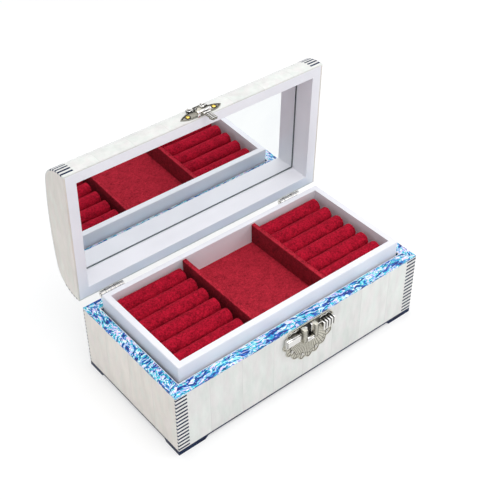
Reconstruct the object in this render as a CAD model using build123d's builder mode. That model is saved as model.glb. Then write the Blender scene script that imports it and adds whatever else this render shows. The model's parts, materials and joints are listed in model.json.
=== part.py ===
from build123d import *
import os
from math import asin, cos, pi, sin

# Jewelry chest with a domed mirror lid and a lift-out ring tray, in millimetres.
# +X runs along the length and -Y is the clasp side. The origin is on the surface that the
# chest stands on, at the middle of its footprint. The lid stands open on its hinge stops,
# and the tray sits in the chest on its two ledges.

# Chest body
box_length = 240.0
box_depth = 119.0
body_height = 58.0
foot_drop = 2.8
plinth_height = 1.5
pearl_thickness = 1.2
board_thickness = 7.2
lining_thickness = 1.2
rim_thickness = 1.4
rim_chamfer = 0.5
bottom_thickness = 2.8
floor_lining_thickness = 0.8
ledge_thickness = 2.8
ledge_rise = 46.6

# Bracket feet
foot_run_x = 27.0
foot_run_y = 19.0
foot_width = 6.0
foot_slant = 3.0

# Striped inlays at the corners
stripe_length = 10.0
stripe_width = 1.7
box_stripes = 15
box_stripe_top = 58.9
box_stripe_pitch = 3.75
lid_stripes = 5
lid_stripe_first = 3.4
lid_stripe_pitch = 3.5

# Lid
lid_gap = 0.3
open_angle = 88.0
shoulder_start = 6.0
shoulder_radius = 22.0
crown_height = 30.4
mirror_recess = 18.3
mirror_thickness = 2.0
mirror_play = 0.2

# Hinges
hinge_offset_x = 91.0
hinge_width = 21.0
hinge_screw_spread = 5.25
hinge_axis_back = 3.5
hinge_axis_drop = 0.8
knuckle_radius = 3.0
knuckle_gap = 0.2
knuckle_count = 5
hinge_pin_radius = 1.2
pin_play = 0.05
pin_head_radius = 1.6
pin_head_length = 0.5
leaf_thickness = 1.0
stop_lug = [(-2.45, -4.2), (-1.6, -4.2), (-0.4, -2.8), (-2.45, -1.4)]
box_leaf_low = 48.5
leaf_clearance = 0.3
lid_leaf_height = 8.8

# Wood screws: shank radius, head radius, head height, length under the head
large_screw = (0.9, 1.9, 0.8, 6.5)
small_screw = (0.6, 1.3, 0.6, 4.5)
screw_play = 0.05
screw_slot = 0.4

# Clasp, measured from the tongue's middle line, and its shell plate from the shell's middle
clasp_x = 2.0
shell_x = 5.0
plate_thickness = 0.8
block_thickness = 2.6
shell_centre_z = 50.5
shell_half_width = 24.8
shell_depth = 26.0
shell_lobe_reach = 1.107
shell_lobes = 9
plate_top_z = 60.2
plate_top_half = 17.2
plate_shoulder = (22.6, 57.2)
clasp_screw_places = ((18.0, 39.0), (7.0, 29.5))
block_low_z = 46.0
block_high_z = 59.0
notch_half = 2.1
notch_low_z = 51.5
jaw_half = 7.2
cheek_inner = 3.9
cheek_thickness = 5.4
bar_high_z = 49.3
boss_outer = 22.5
boss_gap = 0.7
boss_low_z = 48.0
boss_high_z = 55.5
boss_thickness = 3.8
block_fillet = 0.7
knob_inner = 12.5
knob_width = 12.4
knob_low_z = 48.0
knob_high_z = 56.0
bolt_z = 54.5
bolt_radius = 0.6
bolt_play = 0.05
bolt_travel = 5.0
bolt_tip = 2.2
bolt_socket_end = 4.0
knob_play = 0.1
rib_half_height = 0.6
rib_end_margin = 1.0
rib_play = 0.2
knob_ribs = 5
knob_rib_pitch = 2.7
knob_rib_width = 1.4
knob_rib_height = 0.6

# Hasp on the lid, with heights measured from the lid's frame face
hasp_pin_t = 1.0
hasp_barrel_radius = 1.2
hasp_pin_radius = 0.5
tongue_half = 3.2
tongue_thickness = 1.0
tongue_reach = 13.0
tongue_play = 0.2
hasp_knuckle_width = 2.8
tongue_ridges = 5
tongue_ridge_first = 5.4
tongue_ridge_pitch = 1.6
tongue_ridge_width = 0.8
tongue_ridge_height = 0.5
eye_half = 1.7
eye_half_height = 2.2
eye_radius = 0.7
hasp_wing_half = 17.0
hasp_body_half = 14.4
hasp_waist_half = 8.2
hasp_low_t = 1.2
hasp_wing_t = 4.8
hasp_high_t = 8.4
hasp_crest_t = 13.2
hasp_screw_x = 12.1
hasp_screw_t = 4.8
scroll_x = 6.2
scroll_t = 11.2
scroll_radius = 2.6
scroll_height = 1.8

# Tray
tray_length = 216.8
tray_depth = 97.6
tray_height = 24.6
tray_back_shift = 0.3
tray_wall = 5.2
tray_bottom_thickness = 3.4
tray_edge_fillet = 0.8
velvet_board_thickness = 1.8
divider_thickness = 3.5
divider_drop = 1.4
divider_corner = 2.0
divider_fillet = 0.8
ring_rolls = 6
ring_roll_pitch = 14.4
ring_roll_gap = 0.6
ring_roll_length = 61.0
ring_roll_drop = 1.7
ring_base_height = 3.0
ring_pad_play = 0.4
ring_roll_fillet = 1.2

# Places that follow from the driving dimensions
half_length = box_length / 2
half_depth = box_depth / 2
wall_thickness = pearl_thickness + board_thickness + lining_thickness
body_base = foot_drop + plinth_height
rim_top = body_base + body_height
core_top = rim_top - rim_thickness
inner_half_length = half_length - wall_thickness
inner_half_depth = half_depth - wall_thickness
board_half_length = half_length - pearl_thickness
board_half_depth = half_depth - pearl_thickness
lining_half_length = board_half_length - board_thickness
lining_half_depth = board_half_depth - board_thickness
floor_base = body_base + bottom_thickness
floor_top = floor_base + floor_lining_thickness
ledge_top = body_base + ledge_rise
hinge_y = half_depth + hinge_axis_back
hinge_z = rim_top - hinge_axis_drop
axis_t = hinge_z - rim_top - lid_gap
box_leaf_high = hinge_z - knuckle_radius - leaf_clearance
lid_leaf_low = axis_t + knuckle_radius + leaf_clearance

# Planes of the chest's two long faces. Both have X to the right and Z up, and -Y as normal.
front_face = Plane.XZ.offset(half_depth)
back_face = Plane.XZ.offset(-half_depth)

# Planes of the open lid. lid_face is the lid's frame face, with its own +Y to the hinge side
# and its normal through the lid towards the crown.
lid_place = (
    Pos(0, hinge_y, hinge_z)
    * Rot(-open_angle, 0, 0)
    * Pos(0, -hinge_y, rim_top + lid_gap - hinge_z)
)
lid_face = Plane(lid_place)
lid_section = Plane(lid_place * Plane.YZ.location)
lid_front = Plane(lid_place * front_face.location)
lid_back = Plane(lid_place * back_face.location)
lid_wall = wall_thickness - pearl_thickness
lid_core_base = mirror_recess + mirror_thickness

# The dome's outline is a wall, a shoulder arc and a wide crown arc tangent to the shoulders.
shoulder_y = half_depth - shoulder_radius
crown_rise = crown_height - shoulder_start
crown_radius = (shoulder_y**2 + crown_rise**2 - shoulder_radius**2) / (
    2 * (crown_rise - shoulder_radius)
)
shoulder_turn = pi / 2 - asin(shoulder_y / (crown_radius - shoulder_radius))

os.makedirs("parts", exist_ok=True)


def save(piece, name):
    """Label a finished piece and write it under its node's name."""
    piece.part.label = name
    export_step(piece.part, f"parts/{name}.step")


def rods(plane, points, radius, length):
    """Round rods that stand on a plane at the given points, along its normal."""
    with BuildPart() as rod_set:
        with BuildSketch(plane):
            with Locations(*points):
                Circle(radius)
        extrude(amount=length)
    return rod_set.part


def screws(plane, points, screw, outward):
    """Slotted screws with their heads on the plane. outward is 1 along its normal, or -1."""
    shank_radius, head_radius, head_height, length = screw
    with BuildPart() as screw_set:
        with BuildSketch(plane):
            with Locations(*points):
                Circle(shank_radius)
        extrude(amount=-outward * length)
        with BuildSketch(plane):
            with Locations(*points):
                Circle(head_radius)
        extrude(amount=outward * head_height)
        with BuildSketch(plane.offset(outward * head_height)):
            with Locations(*points):
                Rectangle(2 * head_radius, screw_slot)
        extrude(amount=-outward * head_height / 2, mode=Mode.SUBTRACT)
    return screw_set.part


def dome_outline(inset):
    """Draw the lid's end outline, shrunk by inset, in the sketch line in hand."""
    wall_y = half_depth - inset
    radius = shoulder_radius - inset
    arc_middle = (
        shoulder_y + radius * cos(shoulder_turn / 2),
        shoulder_start + radius * sin(shoulder_turn / 2),
    )
    arc_end = (
        shoulder_y + radius * cos(shoulder_turn),
        shoulder_start + radius * sin(shoulder_turn),
    )
    Line((wall_y, 0), (wall_y, shoulder_start))
    ThreePointArc((wall_y, shoulder_start), arc_middle, arc_end)
    ThreePointArc(arc_end, (0, crown_height - inset), (-arc_end[0], arc_end[1]))
    ThreePointArc(
        (-arc_end[0], arc_end[1]),
        (-arc_middle[0], arc_middle[1]),
        (-wall_y, shoulder_start),
    )
    Line((-wall_y, shoulder_start), (-wall_y, 0))
    Line((-wall_y, 0), (wall_y, 0))


def hinge_screw_points(height):
    """The two screws of each hinge leaf, at the same height."""
    return [
        (side * hinge_offset_x + step * hinge_screw_spread, height)
        for side in (-1, 1)
        for step in (-1, 1)
    ]


# Screw places on the faces they go into
box_hinge_screw_z = (box_leaf_low + box_leaf_high) / 2
box_hinge_screws = hinge_screw_points(box_hinge_screw_z)
lid_hinge_screw_t = (lid_leaf_low + lid_leaf_height) / 2
lid_hinge_screws = hinge_screw_points(lid_hinge_screw_t)
clasp_screws = [
    (shell_x + side * across, height)
    for across, height in clasp_screw_places
    for side in (-1, 1)
]
hasp_screws = [(clasp_x + side * hasp_screw_x, hasp_screw_t) for side in (-1, 1)]


# Wall boards: the front and back ones run the full length, the side ones stand between them
board_centre_y = board_half_depth - board_thickness / 2
for side, name in ((-1, "front_wall"), (1, "back_wall")):
    with BuildPart() as long_wall:
        with BuildSketch(Plane.XY.offset(body_base)):
            with Locations((0, side * board_centre_y)):
                Rectangle(2 * board_half_length, board_thickness)
        extrude(amount=core_top - body_base)
        if side < 0:
            holes = rods(front_face, clasp_screws, small_screw[0] + screw_play, -small_screw[3])
        else:
            holes = rods(back_face, box_hinge_screws, large_screw[0] + screw_play, large_screw[3])
        add(holes, mode=Mode.SUBTRACT)
    save(long_wall, name)

board_centre_x = board_half_length - board_thickness / 2
for side, name in ((-1, "left_wall"), (1, "right_wall")):
    with BuildPart() as side_wall:
        with BuildSketch(Plane.XY.offset(body_base)):
            with Locations((side * board_centre_x, 0)):
                Rectangle(board_thickness, 2 * lining_half_depth)
        extrude(amount=core_top - body_base)
    save(side_wall, name)

# Bottom board between the walls, and the dark plinth board under the body
with BuildPart() as bottom_board:
    with BuildSketch(Plane.XY.offset(body_base)):
        Rectangle(2 * lining_half_length, 2 * lining_half_depth)
    extrude(amount=bottom_thickness)
save(bottom_board, "bottom_board")

with BuildPart() as plinth:
    with BuildSketch(Plane.XY.offset(foot_drop)):
        Rectangle(box_length, box_depth)
    extrude(amount=plinth_height)
save(plinth, "plinth")

# Bracket feet: an angle under each corner, with slanted ends
for side_y, row in ((-1, "front"), (1, "back")):
    for side_x, column in ((-1, "left"), (1, "right")):
        with BuildPart() as foot:
            for height, shortening in ((foot_drop, 0.0), (0.0, foot_slant)):
                run_x = foot_run_x - shortening
                run_y = foot_run_y - shortening
                corners = [
                    (0, 0),
                    (run_x, 0),
                    (run_x, foot_width),
                    (foot_width, foot_width),
                    (foot_width, run_y),
                    (0, run_y),
                ]
                with BuildSketch(Plane.XY.offset(height)):
                    with BuildLine():
                        Polyline(
                            *[
                                (side_x * (half_length - x), side_y * (half_depth - y))
                                for x, y in corners
                            ],
                            close=True,
                        )
                    make_face()
            loft(ruled=True)
        save(foot, f"foot_{row}_{column}")

# Mother-of-pearl sheets: the front and back ones have slots for the corner stripes
stripe_x = half_length - stripe_length / 2
box_stripe_points = [
    (side * stripe_x, box_stripe_top - row * box_stripe_pitch)
    for side in (-1, 1)
    for row in range(box_stripes)
]
pearl_centre_y = half_depth - pearl_thickness / 2
for side, name in ((-1, "pearl_front"), (1, "pearl_back")):
    with BuildPart() as long_pearl:
        with BuildSketch(Plane.XY.offset(body_base)):
            with Locations((0, side * pearl_centre_y)):
                Rectangle(box_length, pearl_thickness)
        extrude(amount=core_top - body_base)
        with BuildSketch(front_face):
            with Locations(*box_stripe_points):
                Rectangle(stripe_length, stripe_width)
        extrude(amount=-box_depth, mode=Mode.SUBTRACT)
        if side < 0:
            holes = rods(front_face, clasp_screws, small_screw[0] + screw_play, -small_screw[3])
        else:
            holes = rods(back_face, box_hinge_screws, large_screw[0] + screw_play, large_screw[3])
        add(holes, mode=Mode.SUBTRACT)
    save(long_pearl, name)

pearl_centre_x = half_length - pearl_thickness / 2
for side, name in ((-1, "pearl_left"), (1, "pearl_right")):
    with BuildPart() as side_pearl:
        with BuildSketch(Plane.XY.offset(body_base)):
            with Locations((side * pearl_centre_x, 0)):
                Rectangle(pearl_thickness, 2 * board_half_depth)
        extrude(amount=core_top - body_base)
    save(side_pearl, name)

# Corner stripes of each end, flush in the front and back sheets
for side, name in ((-1, "corner_inlay_left"), (1, "corner_inlay_right")):
    with BuildPart() as corner_inlay:
        for face in (-1, 1):
            with BuildSketch(Plane.XZ.offset(face * half_depth)):
                with Locations(*[p for p in box_stripe_points if p[0] * side > 0]):
                    Rectangle(stripe_length, stripe_width)
            extrude(amount=-face * pearl_thickness)
    save(corner_inlay, name)

# Abalone rim caps, mitred at the corners, with a small chamfer along the outer edge
rim_sides = {
    "rim_front": ((-1, -1), (1, -1)),
    "rim_back": ((-1, 1), (1, 1)),
    "rim_left": ((-1, -1), (-1, 1)),
    "rim_right": ((1, -1), (1, 1)),
}
for name, (first, last) in rim_sides.items():
    along = Axis.X if name in ("rim_front", "rim_back") else Axis.Y
    across = Axis.Y if along == Axis.X else Axis.X
    outer_end = 0 if name in ("rim_front", "rim_left") else -1
    outline = [
        (first[0] * half_length, first[1] * half_depth),
        (last[0] * half_length, last[1] * half_depth),
        (last[0] * inner_half_length, last[1] * inner_half_depth),
        (first[0] * inner_half_length, first[1] * inner_half_depth),
    ]
    with BuildPart() as rim:
        with BuildSketch(Plane.XY.offset(core_top)):
            with BuildLine():
                Polyline(*outline, close=True)
            make_face()
        extrude(amount=rim_thickness)
        top_edges = rim.faces().sort_by(Axis.Z)[-1].edges().filter_by(along)
        chamfer(top_edges.sort_by(across)[outer_end], rim_chamfer)
    save(rim, name)

# Dark abalone lining: sheets on the four walls, and one on the bottom board
for side, name in ((-1, "lining_front"), (1, "lining_back")):
    with BuildPart() as long_lining:
        with BuildSketch(Plane.XY.offset(floor_base)):
            with Locations((0, side * (inner_half_depth + lining_thickness / 2))):
                Rectangle(2 * lining_half_length, lining_thickness)
        extrude(amount=core_top - floor_base)
    save(long_lining, name)

for side, name in ((-1, "lining_left"), (1, "lining_right")):
    with BuildPart() as side_lining:
        with BuildSketch(Plane.XY.offset(floor_base)):
            with Locations((side * (inner_half_length + lining_thickness / 2), 0)):
                Rectangle(lining_thickness, 2 * inner_half_depth)
        extrude(amount=core_top - floor_base)
    save(side_lining, name)

with BuildPart() as lining_floor:
    with BuildSketch(Plane.XY.offset(floor_base)):
        Rectangle(2 * inner_half_length, 2 * inner_half_depth)
    extrude(amount=floor_lining_thickness)
save(lining_floor, "lining_floor")

# Ledges: a board on the front wall and one on the back wall, which the tray rests on
with BuildPart() as tray_ledges:
    with BuildSketch(Plane.XY.offset(floor_top)):
        ledge_y = inner_half_depth - ledge_thickness / 2
        with Locations((0, -ledge_y), (0, ledge_y)):
            Rectangle(2 * inner_half_length, ledge_thickness)
    extrude(amount=ledge_top - floor_top)
save(tray_ledges, "tray_ledges")

# Hinges: knuckles 0, 2 and 4 of each belong to the box leaf, 1 and 3 to the lid leaf
knuckle_length = (hinge_width - (knuckle_count - 1) * knuckle_gap) / knuckle_count
hinge_line = [(hinge_y, hinge_z)]
hinge_bore_radius = hinge_pin_radius + pin_play
hinge_bores = rods(Plane.YZ.offset(-half_length), hinge_line, hinge_bore_radius, box_length)


def knuckle_starts(numbers):
    """The X at which each of the numbered knuckles begins, on both hinges."""
    return [
        side * hinge_offset_x - hinge_width / 2 + number * (knuckle_length + knuckle_gap)
        for side in (-1, 1)
        for number in numbers
    ]


with BuildPart() as hinge_box_leaves:
    with BuildSketch(back_face):
        with Locations((0, (box_leaf_low + box_leaf_high) / 2)):
            with GridLocations(2 * hinge_offset_x, 1, 2, 1):
                Rectangle(hinge_width, box_leaf_high - box_leaf_low)
        for start in knuckle_starts((0, 2, 4)):
            with Locations((start + knuckle_length / 2, (box_leaf_high + hinge_z) / 2)):
                Rectangle(knuckle_length, hinge_z - box_leaf_high)
    extrude(amount=-leaf_thickness)
    for start in knuckle_starts((0, 2, 4)):
        add(rods(Plane.YZ.offset(start), hinge_line, knuckle_radius, knuckle_length))
    add(hinge_bores, mode=Mode.SUBTRACT)
    add(
        rods(back_face, box_hinge_screws, large_screw[0] + screw_play, -leaf_thickness),
        mode=Mode.SUBTRACT,
    )
save(hinge_box_leaves, "hinge_box_leaves")

# The lid leaves carry a stop lug under each knuckle, which meets the box leaf at the open angle
with BuildPart() as hinge_lid_leaves:
    with BuildSketch(lid_back):
        with Locations((0, (lid_leaf_low + lid_leaf_height) / 2)):
            with GridLocations(2 * hinge_offset_x, 1, 2, 1):
                Rectangle(hinge_width, lid_leaf_height - lid_leaf_low)
        for start in knuckle_starts((1, 3)):
            with Locations((start + knuckle_length / 2, (axis_t + lid_leaf_low) / 2)):
                Rectangle(knuckle_length, lid_leaf_low - axis_t)
    extrude(amount=-leaf_thickness)
    for start in knuckle_starts((1, 3)):
        add(rods(Plane.YZ.offset(start), hinge_line, knuckle_radius, knuckle_length))
        with BuildSketch(Plane.YZ.offset(start)):
            with BuildLine():
                Polyline(*[(hinge_y + y, hinge_z + z) for y, z in stop_lug], close=True)
            make_face()
        extrude(amount=knuckle_length)
    add(hinge_bores, mode=Mode.SUBTRACT)
    add(
        rods(lid_back, lid_hinge_screws, large_screw[0] + screw_play, -leaf_thickness),
        mode=Mode.SUBTRACT,
    )
save(hinge_lid_leaves, "hinge_lid_leaves")

with BuildPart() as hinge_pins:
    for side in (-1, 1):
        start = side * hinge_offset_x - hinge_width / 2
        for radius, first, length in (
            (hinge_pin_radius, start, hinge_width),
            (pin_head_radius, start - pin_head_length, pin_head_length),
            (pin_head_radius, start + hinge_width, pin_head_length),
        ):
            add(rods(Plane.YZ.offset(first), hinge_line, radius, length))
save(hinge_pins, "hinge_pins")

# Clasp plate on the chest: a straight top between round shoulders, over a scalloped shell
plate_front = Plane.XZ.offset(half_depth + plate_thickness)
lobe_turn = pi / shell_lobes
with BuildPart() as clasp_plate:
    with BuildSketch(front_face):
        with BuildLine():
            for lobe in range(shell_lobes):
                points = [
                    (
                        shell_x + reach * shell_half_width * cos(turn * lobe_turn),
                        shell_centre_z - reach * shell_depth * sin(turn * lobe_turn),
                    )
                    for turn, reach in (
                        (lobe, 1.0),
                        (lobe + 0.5, shell_lobe_reach),
                        (lobe + 1, 1.0),
                    )
                ]
                ThreePointArc(*points)
            Line((shell_x - plate_top_half, plate_top_z), (shell_x + plate_top_half, plate_top_z))
            for side in (-1, 1):
                ThreePointArc(
                    (shell_x + side * shell_half_width, shell_centre_z),
                    (shell_x + side * plate_shoulder[0], plate_shoulder[1]),
                    (shell_x + side * plate_top_half, plate_top_z),
                )
        make_face()
        with Locations(*clasp_screws):
            Circle(small_screw[0] + screw_play, mode=Mode.SUBTRACT)
        slot_first = clasp_x + knob_inner + rib_end_margin - bolt_travel - rib_play
        slot_last = clasp_x + knob_inner + knob_width - rib_end_margin + rib_play
        with Locations(((slot_first + slot_last) / 2, bolt_z)):
            Rectangle(
                slot_last - slot_first, 2 * (rib_half_height + rib_play), mode=Mode.SUBTRACT
            )
    extrude(amount=plate_thickness)
save(clasp_plate, "clasp_plate")

# Raised blocks on the plate: a boss, and a block with a channel for the hasp's tongue. The two
# jaws beside its notch hold the bolt, with a cheek on each and a bar below the channel.
bolt_y = -half_depth - plate_thickness - block_thickness / 2
with BuildPart() as clasp_blocks:
    for first, last, low, high, thickness in (
        (-boss_outer, -jaw_half - boss_gap, boss_low_z, boss_high_z, boss_thickness),
        (-jaw_half, jaw_half, block_low_z, block_high_z, cheek_thickness),
    ):
        with BuildSketch(plate_front):
            with Locations((clasp_x + (first + last) / 2, (low + high) / 2)):
                Rectangle(last - first, high - low)
        extrude(amount=thickness)
    front_edges = clasp_blocks.faces().sort_by(Axis.Y)[:2].edges()
    fillet(front_edges, block_fillet)
    for half_width, low, first, last in (
        (cheek_inner, bar_high_z, block_thickness, cheek_thickness),
        (notch_half, notch_low_z, 0.0, cheek_thickness),
    ):
        with BuildSketch(plate_front.offset(first)):
            with Locations((clasp_x, (low + block_high_z) / 2)):
                Rectangle(2 * half_width, block_high_z - low)
        extrude(amount=last - first, mode=Mode.SUBTRACT)
    with BuildSketch(Plane.YZ.offset(clasp_x - bolt_socket_end)):
        with Locations((bolt_y, bolt_z)):
            Circle(bolt_radius + bolt_play)
    extrude(amount=bolt_socket_end + jaw_half, mode=Mode.SUBTRACT)
save(clasp_blocks, "clasp_blocks")

# Slide bolt, drawn back: a knob with ribs round it, a round bolt, and a guide rib behind it
knob_back = half_depth + plate_thickness + knob_play
knob_thickness = cheek_thickness - knob_play
knob_middle = (clasp_x + knob_inner + knob_width / 2, (knob_low_z + knob_high_z) / 2)
knob_height = knob_high_z - knob_low_z
with BuildPart() as slide_bolt:
    with BuildSketch(Plane.XZ.offset(knob_back)):
        with Locations(knob_middle):
            Rectangle(knob_width, knob_height - 2 * knob_rib_height)
    extrude(amount=knob_thickness - knob_rib_height)
    with BuildSketch(Plane.XZ.offset(knob_back)):
        with Locations(knob_middle):
            with GridLocations(knob_rib_pitch, 1, knob_ribs, 1):
                Rectangle(knob_rib_width, knob_height)
    extrude(amount=knob_thickness)
    rib_fronts = slide_bolt.faces().sort_by(Axis.Y)[:knob_ribs]
    fillet(rib_fronts.edges().filter_by(Axis.X), block_fillet)
    with BuildSketch(Plane.YZ.offset(clasp_x + bolt_tip)):
        with Locations((bolt_y, bolt_z)):
            Circle(bolt_radius)
    extrude(amount=knob_inner - bolt_tip + knob_width / 2)
    with BuildSketch(Plane.XZ.offset(knob_back)):
        with Locations((knob_middle[0], bolt_z)):
            Rectangle(knob_width - 2 * rib_end_margin, 2 * rib_half_height)
    extrude(amount=-(plate_thickness + knob_play - rib_play))
save(slide_bolt, "slide_bolt")

# Screws in the chest: four in the hinge leaves and four in the clasp plate
with BuildPart() as box_screws:
    add(screws(back_face.offset(-leaf_thickness), box_hinge_screws, large_screw, -1))
    add(screws(plate_front, clasp_screws, small_screw, 1))
save(box_screws, "box_screws")

# Lid boards: two ends with the whole outline, two rails between them, and the domed core
for side, name in ((-1, "lid_left_end"), (1, "lid_right_end")):
    with BuildPart() as lid_end:
        with BuildSketch(lid_section.offset(side * board_half_length)):
            with BuildLine():
                dome_outline(pearl_thickness)
            make_face()
        extrude(amount=-side * lid_wall)
    save(lid_end, name)

for side, name in ((-1, "lid_front_rail"), (1, "lid_back_rail")):
    with BuildPart() as lid_rail:
        with BuildSketch(lid_section.offset(-inner_half_length)):
            with BuildLine():
                dome_outline(pearl_thickness)
            make_face()
            with Locations((side * (inner_half_depth + half_depth / 2), lid_core_base / 2)):
                Rectangle(half_depth, lid_core_base, mode=Mode.INTERSECT)
        extrude(amount=2 * inner_half_length)
        if side < 0:
            holes = rods(lid_front, hasp_screws, large_screw[0] + screw_play, -large_screw[3])
        else:
            holes = rods(lid_back, lid_hinge_screws, large_screw[0] + screw_play, large_screw[3])
        add(holes, mode=Mode.SUBTRACT)
    save(lid_rail, name)

with BuildPart() as lid_dome_core:
    with BuildSketch(lid_section.offset(-inner_half_length)):
        with BuildLine():
            dome_outline(pearl_thickness)
        make_face()
        with Locations((0, lid_core_base / 2)):
            Rectangle(box_depth, lid_core_base, mode=Mode.SUBTRACT)
    extrude(amount=2 * inner_half_length)
save(lid_dome_core, "lid_dome_core")

# Mother-of-pearl on the lid: one bent sheet over the dome, and a sheet on each end inside it
lid_stripe_points = [
    (side * stripe_x, lid_stripe_first + row * lid_stripe_pitch)
    for side in (-1, 1)
    for row in range(lid_stripes)
]
with BuildPart() as lid_dome_pearl:
    with BuildSketch(lid_section.offset(-half_length)):
        with BuildLine():
            dome_outline(0)
        make_face()
        with BuildLine():
            dome_outline(pearl_thickness)
        make_face(mode=Mode.SUBTRACT)
    extrude(amount=box_length)
    with BuildSketch(lid_front):
        with Locations(*lid_stripe_points):
            Rectangle(stripe_length, stripe_width)
    extrude(amount=-box_depth, mode=Mode.SUBTRACT)
    for face, points, depth in (
        (lid_front, hasp_screws, -wall_thickness),
        (lid_back, lid_hinge_screws, wall_thickness),
    ):
        add(rods(face, points, large_screw[0] + screw_play, depth), mode=Mode.SUBTRACT)
save(lid_dome_pearl, "lid_dome_pearl")

for side, name in ((-1, "lid_left_pearl"), (1, "lid_right_pearl")):
    with BuildPart() as end_pearl:
        with BuildSketch(lid_section.offset(side * half_length)):
            with BuildLine():
                dome_outline(pearl_thickness)
            make_face()
        extrude(amount=-side * pearl_thickness)
    save(end_pearl, name)

# The lid's stripes are cut from the same bent sheet, so they follow its shoulder
with BuildPart() as lid_inlay:
    with BuildSketch(lid_section.offset(-half_length)):
        with BuildLine():
            dome_outline(0)
        make_face()
        with BuildLine():
            dome_outline(pearl_thickness)
        make_face(mode=Mode.SUBTRACT)
    extrude(amount=box_length)
    with BuildSketch(lid_front):
        with Locations(*lid_stripe_points):
            Rectangle(stripe_length, stripe_width)
    extrude(amount=-box_depth, mode=Mode.INTERSECT)
save(lid_inlay, "lid_inlay")

with BuildPart() as mirror:
    with BuildSketch(lid_face.offset(mirror_recess)):
        Rectangle(2 * (inner_half_length - mirror_play), 2 * (inner_half_depth - mirror_play))
    extrude(amount=mirror_thickness)
save(mirror, "mirror")

# Hasp plate on the lid's front: pointed wings, a waist with two scrolls, and two pin knuckles
hasp_pin_out = plate_thickness + block_thickness + tongue_play + tongue_thickness / 2
hasp_pin_y = -half_depth - hasp_pin_out
with BuildPart() as hasp_plate:
    with BuildSketch(lid_front):
        with BuildLine():
            for side in (-1, 1):
                Polyline(
                    (clasp_x, hasp_low_t),
                    (clasp_x + side * hasp_body_half, hasp_low_t),
                    (clasp_x + side * hasp_wing_half, hasp_wing_t),
                    (clasp_x + side * hasp_body_half, hasp_high_t),
                    (clasp_x + side * hasp_waist_half, hasp_high_t),
                    (clasp_x + side * hasp_waist_half, hasp_crest_t),
                    (clasp_x, hasp_crest_t),
                )
        make_face()
        with Locations(*hasp_screws):
            Circle(large_screw[0] + screw_play, mode=Mode.SUBTRACT)
    extrude(amount=plate_thickness)
    with BuildSketch(lid_front):
        with Locations(*[(clasp_x + side * scroll_x, scroll_t) for side in (-1, 1)]):
            Circle(scroll_radius)
    extrude(amount=plate_thickness + scroll_height)
    for side in (-1, 1):
        knuckle_middle = clasp_x + side * (tongue_half + tongue_play + hasp_knuckle_width / 2)
        with BuildSketch(lid_section.offset(knuckle_middle)):
            with Locations((hasp_pin_y, hasp_pin_t)):
                Circle(hasp_barrel_radius)
            with Locations((hasp_pin_y + hasp_pin_out / 2, hasp_pin_t)):
                Rectangle(hasp_pin_out, 2 * hasp_barrel_radius)
        extrude(amount=hasp_knuckle_width / 2, both=True)
    with BuildSketch(lid_section.offset(clasp_x)):
        with Locations((hasp_pin_y, hasp_pin_t)):
            Circle(hasp_pin_radius + pin_play)
    extrude(amount=hasp_wing_half, both=True, mode=Mode.SUBTRACT)
save(hasp_plate, "hasp_plate")

with BuildPart() as hasp_pin:
    with BuildSketch(lid_section.offset(clasp_x)):
        with Locations((hasp_pin_y, hasp_pin_t)):
            Circle(hasp_pin_radius)
    extrude(amount=tongue_half + tongue_play + hasp_knuckle_width, both=True)
save(hasp_pin, "hasp_pin")

# Hasp tongue: a barrel on the pin, a flat leaf with cross ridges, and a rounded tip
tongue_low_t = -tongue_reach
with BuildPart() as hasp_tongue:
    with BuildSketch(lid_section.offset(clasp_x)):
        with Locations((hasp_pin_y, hasp_pin_t)):
            Circle(hasp_barrel_radius)
        with Locations((hasp_pin_y, (tongue_low_t + hasp_pin_t) / 2)):
            Rectangle(tongue_thickness, hasp_pin_t - tongue_low_t)
        ridge_y = hasp_pin_y - tongue_thickness / 2 - tongue_ridge_height / 2
        for ridge in range(tongue_ridges):
            with Locations((ridge_y, -tongue_ridge_first - ridge * tongue_ridge_pitch)):
                Rectangle(tongue_ridge_height, tongue_ridge_width)
    extrude(amount=tongue_half, both=True)
    with BuildSketch(lid_section.offset(clasp_x)):
        with Locations((hasp_pin_y, hasp_pin_t)):
            Circle(hasp_pin_radius + pin_play)
    extrude(amount=tongue_half, both=True, mode=Mode.SUBTRACT)
save(hasp_tongue, "hasp_tongue")

# Eye behind the tongue, which drops into the clasp's notch for the bolt to pass
eye_t = bolt_z - rim_top - lid_gap
with BuildPart() as hasp_eye:
    with BuildSketch(lid_section.offset(clasp_x)):
        with Locations((hasp_pin_y + (tongue_thickness + block_thickness) / 2, eye_t)):
            Rectangle(block_thickness, 2 * eye_half_height)
        with Locations((bolt_y, eye_t)):
            Circle(eye_radius, mode=Mode.SUBTRACT)
    extrude(amount=eye_half, both=True)
save(hasp_eye, "hasp_eye")

# Screws in the lid: two in the hasp plate and four in the hinge leaves
with BuildPart() as lid_screws:
    add(screws(lid_front.offset(plate_thickness), hasp_screws, large_screw, 1))
    add(screws(lid_back.offset(-leaf_thickness), lid_hinge_screws, large_screw, -1))
save(lid_screws, "lid_screws")

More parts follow.
